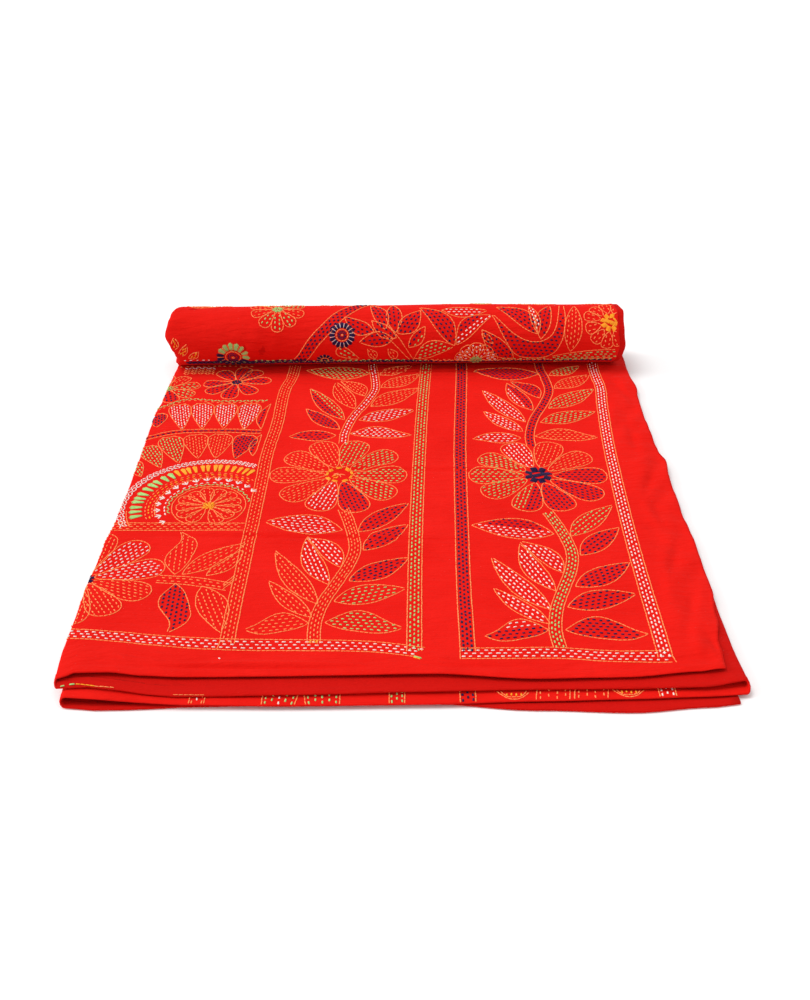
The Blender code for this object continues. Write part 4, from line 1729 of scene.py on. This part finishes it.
@dataclass
class StitchShape:
    """One stitch: a short thread that dives into the cloth at both ends."""

    sides: int = 4
    rings: int = 3

    def model(self) -> tuple[np.ndarray, np.ndarray, np.ndarray, np.ndarray]:
        """Models the stitch once, one metre long and wide.

        Returns:
            Its corners, its faces' corner numbers, each face's first corner, and each corner's place along
            and round the thread.
        """
        bpy.ops.object.select_all(action="DESELECT")
        bpy.ops.mesh.primitive_uv_sphere_add(
            segments=self.sides, ring_count=self.rings, radius=0.5, rotation=(0.0, math.pi / 2.0, 0.0)
        )
        pattern = bpy.context.object
        bpy.ops.object.transform_apply(location=True, rotation=True, scale=True)
        mesh = pattern.data
        corners = np.array([vertex.co[:] for vertex in mesh.vertices])
        pole = np.abs(corners[:, 0]) > 0.49
        corners[~pole, 0] *= 1.44
        corners[~pole, 1:] *= 1.155
        corners[pole, 2] -= 0.42
        numbers = np.array([loop.vertex_index for loop in mesh.loops], dtype=np.int32)
        firsts = np.array([polygon.loop_start for polygon in mesh.polygons], dtype=np.int32)
        around = np.array([loop.uv[:] for loop in mesh.uv_layers.active.data])
        bpy.data.objects.remove(pattern)
        bpy.data.meshes.remove(mesh)
        return corners, numbers, firsts, around


@dataclass
class Embroidery:
    """Turns the gathered stitches of one face into joined meshes, one for each thread."""

    lay: Lay
    shape: tuple
    sink: float = 0.00012
    highest: float = 0.00115
    tuck: float = 0.0005

    def placed(self, face: object, starts: np.ndarray, ends: np.ndarray,
        widths: np.ndarray) -> np.ndarray:
        """Places a copy of the stitch on each run.

        Args:
            face: The face that it lies on.
            starts: Where each stitch starts.
            ends: Where each one ends.
            widths: How wide the thread lies.

        Returns:
            The corners of every copy, by copy.
        """
        corners = self.shape[0]
        zero = np.zeros(len(starts))
        first, last = face.points(starts, zero), face.points(ends, zero)
        middle = (starts + ends) / 2.0
        seat, over = face.points(middle, zero), face.points(middle, zero + 0.001)
        way = last - first
        length = np.linalg.norm(way, axis=1, keepdims=True)
        way = way / np.maximum(length, 1e-9)
        up = (over - seat) / 0.001
        up = up - np.sum(up * way, axis=1, keepdims=True) * way
        up = up / np.maximum(np.linalg.norm(up, axis=1, keepdims=True), 1e-9)
        side = np.cross(up, way)
        span = length[:, 0] + self.tuck
        heights = np.minimum(widths, self.highest)
        centre = seat + up * (heights * 0.30 - self.sink)[:, None]
        return (
            centre[:, None]
            + (corners[None, :, 0] * span[:, None])[..., None] * way[:, None]
            + (corners[None, :, 1] * widths[:, None])[..., None] * side[:, None]
            + (corners[None, :, 2] * heights[:, None])[..., None] * up[:, None]
        )

    def join(self, face: object, thread: Thread, runs: list) -> bpy.types.Object:
        """Joins one face's stitches of one thread into one mesh.

        Args:
            face: The face that they lie on.
            thread: Their thread.
            runs: The stitches, as gathered.

        Returns:
            The finished piece.
        """
        starts, ends = np.concatenate([r[0] for r in runs]), np.concatenate([r[1] for r in runs])
        widths = np.concatenate([r[2] for r in runs])
        on_cloth = face.holds(starts) & face.holds(ends)
        starts, ends, widths = starts[on_cloth], ends[on_cloth], widths[on_cloth]
        corners, numbers, firsts, around = self.shape
        points = self.lay.placed(self.placed(face, starts, ends, widths).reshape(-1, 3))
        count = len(starts)
        mesh = bpy.data.meshes.new(f"{face.name}_{thread.value}")
        mesh.vertices.add(len(points))
        mesh.vertices.foreach_set("co", points.astype(np.float32).ravel())
        mesh.loops.add(count * len(numbers))
        mesh.polygons.add(count * len(firsts))
        step = np.arange(count, dtype=np.int32)[:, None]
        mesh.loops.foreach_set("vertex_index", (numbers + step * len(corners)).ravel())
        mesh.polygons.foreach_set("loop_start", (firsts + step * len(numbers)).ravel())
        mesh.update(calc_edges=True)
        mesh.validate()
        twist = mesh.uv_layers.new(name="thread_run")
        length = np.linalg.norm(ends - starts, axis=1)
        run = np.repeat(around[None], count, axis=0)
        run[..., 1] *= (length / 0.001)[:, None]
        run[..., 1] += np.arange(count)[:, None] * 0.37
        twist.data.foreach_set("uv", run.astype(np.float32).ravel())
        shade = mesh.attributes.new("skein", "FLOAT", "POINT")
        tone = np.random.default_rng(len(starts)).uniform(0.0, 1.0, count)
        shade.data.foreach_set("value", np.repeat(tone, len(corners)).astype(np.float32))
        piece = bpy.data.objects.new(mesh.name, mesh)
        bpy.context.scene.collection.objects.link(piece)
        mesh.shade_smooth()
        return piece


class Nodes:
    """A short way to build a material's nodes."""

    def __init__(self, name: str) -> None:
        """Starts a material with only its shader and its output."""
        self.material = bpy.data.materials.new(name)
        self.material.use_nodes = True
        self.tree = self.material.node_tree
        self.shader = self.tree.nodes["Principled BSDF"]

    def add(self, kind: str, **settings: object) -> bpy.types.Node:
        """Adds a node.

        Args:
            kind: Its type.
            settings: Its properties, and by upper-case first letter its inputs' values.

        Returns:
            The node.
        """
        node = self.tree.nodes.new(kind)
        for name, value in settings.items():
            if name[0].isupper():
                node.inputs[name.replace("_", " ")].default_value = value
            else:
                setattr(node, name, value)
        return node

    def link(self, output: bpy.types.NodeSocket, target: bpy.types.NodeSocket) -> None:
        """Joins two sockets."""
        self.tree.links.new(output, target)

    def stretched(self, source: bpy.types.NodeSocket,
        scale: tuple[float, float, float]) -> bpy.types.NodeSocket:
        """Scales coordinates through a Mapping node."""
        mapping = self.add("ShaderNodeMapping")
        mapping.inputs["Scale"].default_value = scale
        self.link(source, mapping.inputs["Vector"])
        return mapping.outputs["Vector"]

    def noise(self, source: bpy.types.NodeSocket, scale: float,
        detail: float = 3.0) -> bpy.types.NodeSocket:
        """Gives soft noise from 0 to 1."""
        node = self.add("ShaderNodeTexNoise", Scale=scale, Detail=detail, Roughness=0.55)
        self.link(source, node.inputs["Vector"])
        return node.outputs["Fac"]

    def ranged(
        self, source: bpy.types.NodeSocket, low: float, high: float, new_low: float = 0.0,
            new_high: float = 1.0
    ) -> bpy.types.NodeSocket:
        """Maps a range of values to another."""
        node = self.add("ShaderNodeMapRange")
        for name, value in (("From Min", low), ("From Max", high), ("To Min", new_low),
            ("To Max", new_high)):
            node.inputs[name].default_value = value
        self.link(source, node.inputs["Value"])
        return node.outputs["Result"]

    def mixed(
        self, share: bpy.types.NodeSocket, first: object, second: object, blend: str = "MIX"
    ) -> bpy.types.NodeSocket:
        """Mixes two colours, each a socket or a colour."""
        node = self.add("ShaderNodeMix", data_type="RGBA", blend_type=blend)
        self.link(share, node.inputs["Factor"])
        for value, name in ((first, 6), (second, 7)):
            if isinstance(value, tuple):
                node.inputs[name].default_value = value
            else:
                self.link(value, node.inputs[name])
        return node.outputs[2]

    def bump(self, height: bpy.types.NodeSocket, distance: float, strength: float,
        normal: object = None) -> object:
        """Adds a bump, on top of another where one is given."""
        node = self.add("ShaderNodeBump", Distance=distance, Strength=strength)
        self.link(height, node.inputs["Height"])
        if normal is not None:
            self.link(normal, node.inputs["Normal"])
        return node.outputs["Normal"]

    def wave(self, source: bpy.types.NodeSocket, direction: str, pitch: float) -> bpy.types.NodeSocket:
        """Gives an even wave with one crest each pitch."""
        node = self.add("ShaderNodeTexWave", wave_type="BANDS", bands_direction=direction,
            wave_profile="SIN")
        node.inputs["Scale"].default_value = math.pi / (10.0 * pitch)
        node.inputs["Distortion"].default_value = 0.0
        self.link(source, node.inputs["Vector"])
        return node.outputs["Fac"]


@dataclass(frozen=True)
class RedCotton:
    """The cloth's finish: plain-woven red cotton, rippled between its rows of stitches."""

    red: tuple = (0.690, 0.0070, 0.0036, 1.0)
    bright: tuple = (0.755, 0.0105, 0.0062, 1.0)
    # Partly the reverse side's own duller red, partly painted shade: reverse faces are darkened like the
    # shaded band under the top ply's front edge.
    reverse: tuple = (0.540, 0.0050, 0.0030, 1.0)
    thread_pitch: float = 0.00065
    roughness: float = 0.82

    def material(self) -> bpy.types.Material:
        """Builds the finish.

        Returns:
            The material.
        """
        nodes = Nodes("red_cotton")
        cloth = nodes.add("ShaderNodeUVMap", uv_map="opened_cloth").outputs["UV"]
        side = nodes.add("ShaderNodeAttribute", attribute_name="reverse_side_and_shade").outputs["Fac"]
        mottled = nodes.ranged(nodes.noise(cloth, 14.0, 4.0), 0.32, 0.68)
        slubs = nodes.ranged(nodes.noise(nodes.stretched(cloth, (60.0, 900.0, 1.0)), 1.0, 2.0), 0.35,
            0.65)
        face = nodes.mixed(mottled, self.red, self.bright)
        face = nodes.mixed(nodes.ranged(slubs, 0.0, 1.0, 0.0, 0.12), face, (0.42, 0.0030, 0.0020, 1.0))
        # Reverse faces take the darker red: partly their own duller red, partly painted shade.
        colour = nodes.mixed(side, face, self.reverse)
        nodes.link(colour, nodes.shader.inputs["Base Color"])
        nodes.shader.inputs["Roughness"].default_value = self.roughness
        nodes.shader.inputs["Specular IOR Level"].default_value = 0.05
        nodes.shader.inputs["Sheen Weight"].default_value = 0.02
        nodes.shader.inputs["Sheen Roughness"].default_value = 0.45
        nodes.shader.inputs["Sheen Tint"].default_value = (1.0, 0.35, 0.28, 1.0)
        warp = nodes.wave(cloth, "X", self.thread_pitch)
        weft = nodes.wave(cloth, "Y", self.thread_pitch)
        weave = nodes.add("ShaderNodeMath", operation="MULTIPLY")
        nodes.link(warp, weave.inputs[0])
        nodes.link(weft, weave.inputs[1])
        ripple = nodes.noise(nodes.stretched(cloth, (34.0, 150.0, 1.0)), 1.0, 3.0)
        pucker = nodes.noise(cloth, 260.0, 2.0)
        normal = nodes.bump(weave.outputs[0], 0.00009, 0.55)
        normal = nodes.bump(pucker, 0.0006, 0.50, normal)
        normal = nodes.bump(ripple, 0.0034, 0.70, normal)
        nodes.link(normal, nodes.shader.inputs["Normal"])
        return nodes.material


@dataclass(frozen=True)
class ThreadFinish:
    """The finish of one embroidery thread: twisted cotton."""

    name: str
    pale: tuple
    deep: tuple
    roughness: float = 0.62

    def material(self) -> bpy.types.Material:
        """Builds the finish.

        Returns:
            The material.
        """
        nodes = Nodes(self.name)
        run = nodes.add("ShaderNodeUVMap", uv_map="thread_run").outputs["UV"]
        skein = nodes.add("ShaderNodeAttribute", attribute_name="skein").outputs["Fac"]
        place = nodes.add("ShaderNodeTexCoord").outputs["Object"]
        uneven = nodes.ranged(nodes.noise(place, 210.0, 2.0), 0.3, 0.7)
        colour = nodes.mixed(uneven, self.pale, self.deep)
        colour = nodes.mixed(nodes.ranged(skein, 0.0, 1.0, 0.0, 0.5), colour, self.deep)
        nodes.link(colour, nodes.shader.inputs["Base Color"])
        nodes.shader.inputs["Roughness"].default_value = self.roughness
        nodes.shader.inputs["Specular IOR Level"].default_value = 0.22
        nodes.shader.inputs["Sheen Weight"].default_value = 0.05
        strands = nodes.wave(nodes.stretched(run, (2.0, 1.1, 1.0)), "DIAGONAL", 1.0)
        nodes.link(nodes.bump(strands, 0.00018, 0.7), nodes.shader.inputs["Normal"])
        return nodes.material


THREAD_FINISHES = {
    Thread.ORANGE: ThreadFinish("orange_thread", (1.0, 0.370, 0.125, 1.0), (1.0, 0.250, 0.065, 1.0)),
    Thread.WHITE: ThreadFinish("white_thread", (0.92, 0.84, 0.78, 1.0), (0.88, 0.70, 0.64, 1.0)),
    Thread.NAVY: ThreadFinish("navy_thread", (0.020, 0.0015, 0.070, 1.0), (0.010, 0.0008, 0.034, 1.0)),
    Thread.GREEN: ThreadFinish("green_thread", (0.44, 0.72, 0.25, 1.0), (0.34, 0.56, 0.16, 1.0)),
    Thread.GOLD: ThreadFinish("gold_thread", (0.98, 0.45, 0.020, 1.0), (0.93, 0.33, 0.012, 1.0)),
}


@dataclass
class Studio:
    """The floor, the lights and the camera."""

    lay: Lay
    focal_share: float = 1.2438
    stand: tuple[float, float, float] = (-0.0121, -0.8099, 0.6982)
    tilt: float = 32.516
    turn: float = -0.8966

    def floor(self) -> None:
        """Lays a plain pale floor."""
        bpy.ops.object.select_all(action="DESELECT")
        bpy.ops.mesh.primitive_plane_add(size=40.0, location=(0.0, 2.0, -0.0010))
        floor = bpy.context.object
        floor.name = "studio_floor"
        bpy.ops.object.transform_apply(location=True, rotation=True, scale=True)
        nodes = Nodes("pale_floor")
        place = nodes.add("ShaderNodeTexCoord").outputs["Object"]
        patches = nodes.ranged(nodes.noise(place, 3.0), 0.3, 0.7)
        colour = nodes.mixed(patches, (0.93, 0.93, 0.93, 1.0), (0.915, 0.915, 0.915, 1.0))
        nodes.link(colour, nodes.shader.inputs["Base Color"])
        nodes.shader.inputs["Roughness"].default_value = 0.9
        nodes.shader.inputs["Specular IOR Level"].default_value = 0.1
        floor.data.materials.append(nodes.material)

    def light(self) -> None:
        """Lights the quilt softly from above, the left and the front."""
        world = bpy.data.worlds.new("soft_studio")
        world.use_nodes = True
        world.node_tree.nodes["Background"].inputs["Color"].default_value = (1.0, 0.995, 0.99, 1.0)
        world.node_tree.nodes["Background"].inputs["Strength"].default_value = 0.80
        bpy.context.scene.world = world
        for name, place, spread, power in (
            ("overhead_softbox", (-0.9, 0.15, 2.2), 30.0, 1.18),
            ("left_softbox", (-1.8, 0.2, 0.9), 24.0, 1.10),
        ):
            softbox = bpy.data.lights.new(name, "SUN")
            softbox.angle = math.radians(spread)
            softbox.energy = power
            lamp = bpy.data.objects.new(name, softbox)
            lamp.location = place
            lamp.rotation_euler = (-Vector(place)).to_track_quat("-Z", "Y").to_euler()
            bpy.context.scene.collection.objects.link(lamp)

    def camera(self) -> None:
        """Stands the camera where the photograph was taken from."""
        lens = bpy.data.cameras.new("camera")
        lens.sensor_width = 36.0
        lens.sensor_fit = "AUTO"
        lens.lens = 36.0 * self.focal_share
        lens.clip_start = 0.02
        camera = bpy.data.objects.new("camera", lens)
        x, y, z = self.stand
        camera.location = (x - self.lay.centre[0], y - self.lay.centre[1], z)
        camera.rotation_euler = (math.radians(90.0 - self.tilt), 0.0, math.radians(self.turn))
        bpy.context.scene.collection.objects.link(camera)
        bpy.context.scene.camera = camera

    def set_up(self) -> None:
        """Sets up the floor, the lights, the camera and the plain view."""
        self.floor()
        self.light()
        self.camera()
        bpy.context.scene.view_settings.view_transform = "Standard"


def main() -> None:
    """Builds the quilt and its studio."""
    lay = Lay()
    Studio(lay).set_up()
    cloth = QuiltCloth(lay).build()
    cloth.data.materials.append(RedCotton().material())
    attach(cloth, "root")
    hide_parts("quilt")
    LOG.info("%s: %d faces", cloth.name, len(cloth.data.polygons))

    finishes = {thread: finish.material() for thread, finish in THREAD_FINISHES.items()}
    embroidery = Embroidery(lay, StitchShape().model())
    panels = (
        TopPanel(TopFace(lay)),
        RollPanel(RollFace(lay)),
        Underside(LowerFace(lay, 3, "underside")),
        FrontLips(LowerFace(lay, 2, "lips")),
        HemEdging(LowerFace(lay, 1, "edging")),
    )
    for panel in panels:
        panel.sew()
        for thread, runs in panel.work.runs.items():
            piece = embroidery.join(panel.face, thread, runs)
            piece.data.materials.append(finishes[thread])
            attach(piece, "root")
            LOG.info("%s: %d stitches", piece.name, sum(len(run[0]) for run in runs))


if __name__ == "__main__":
    main()
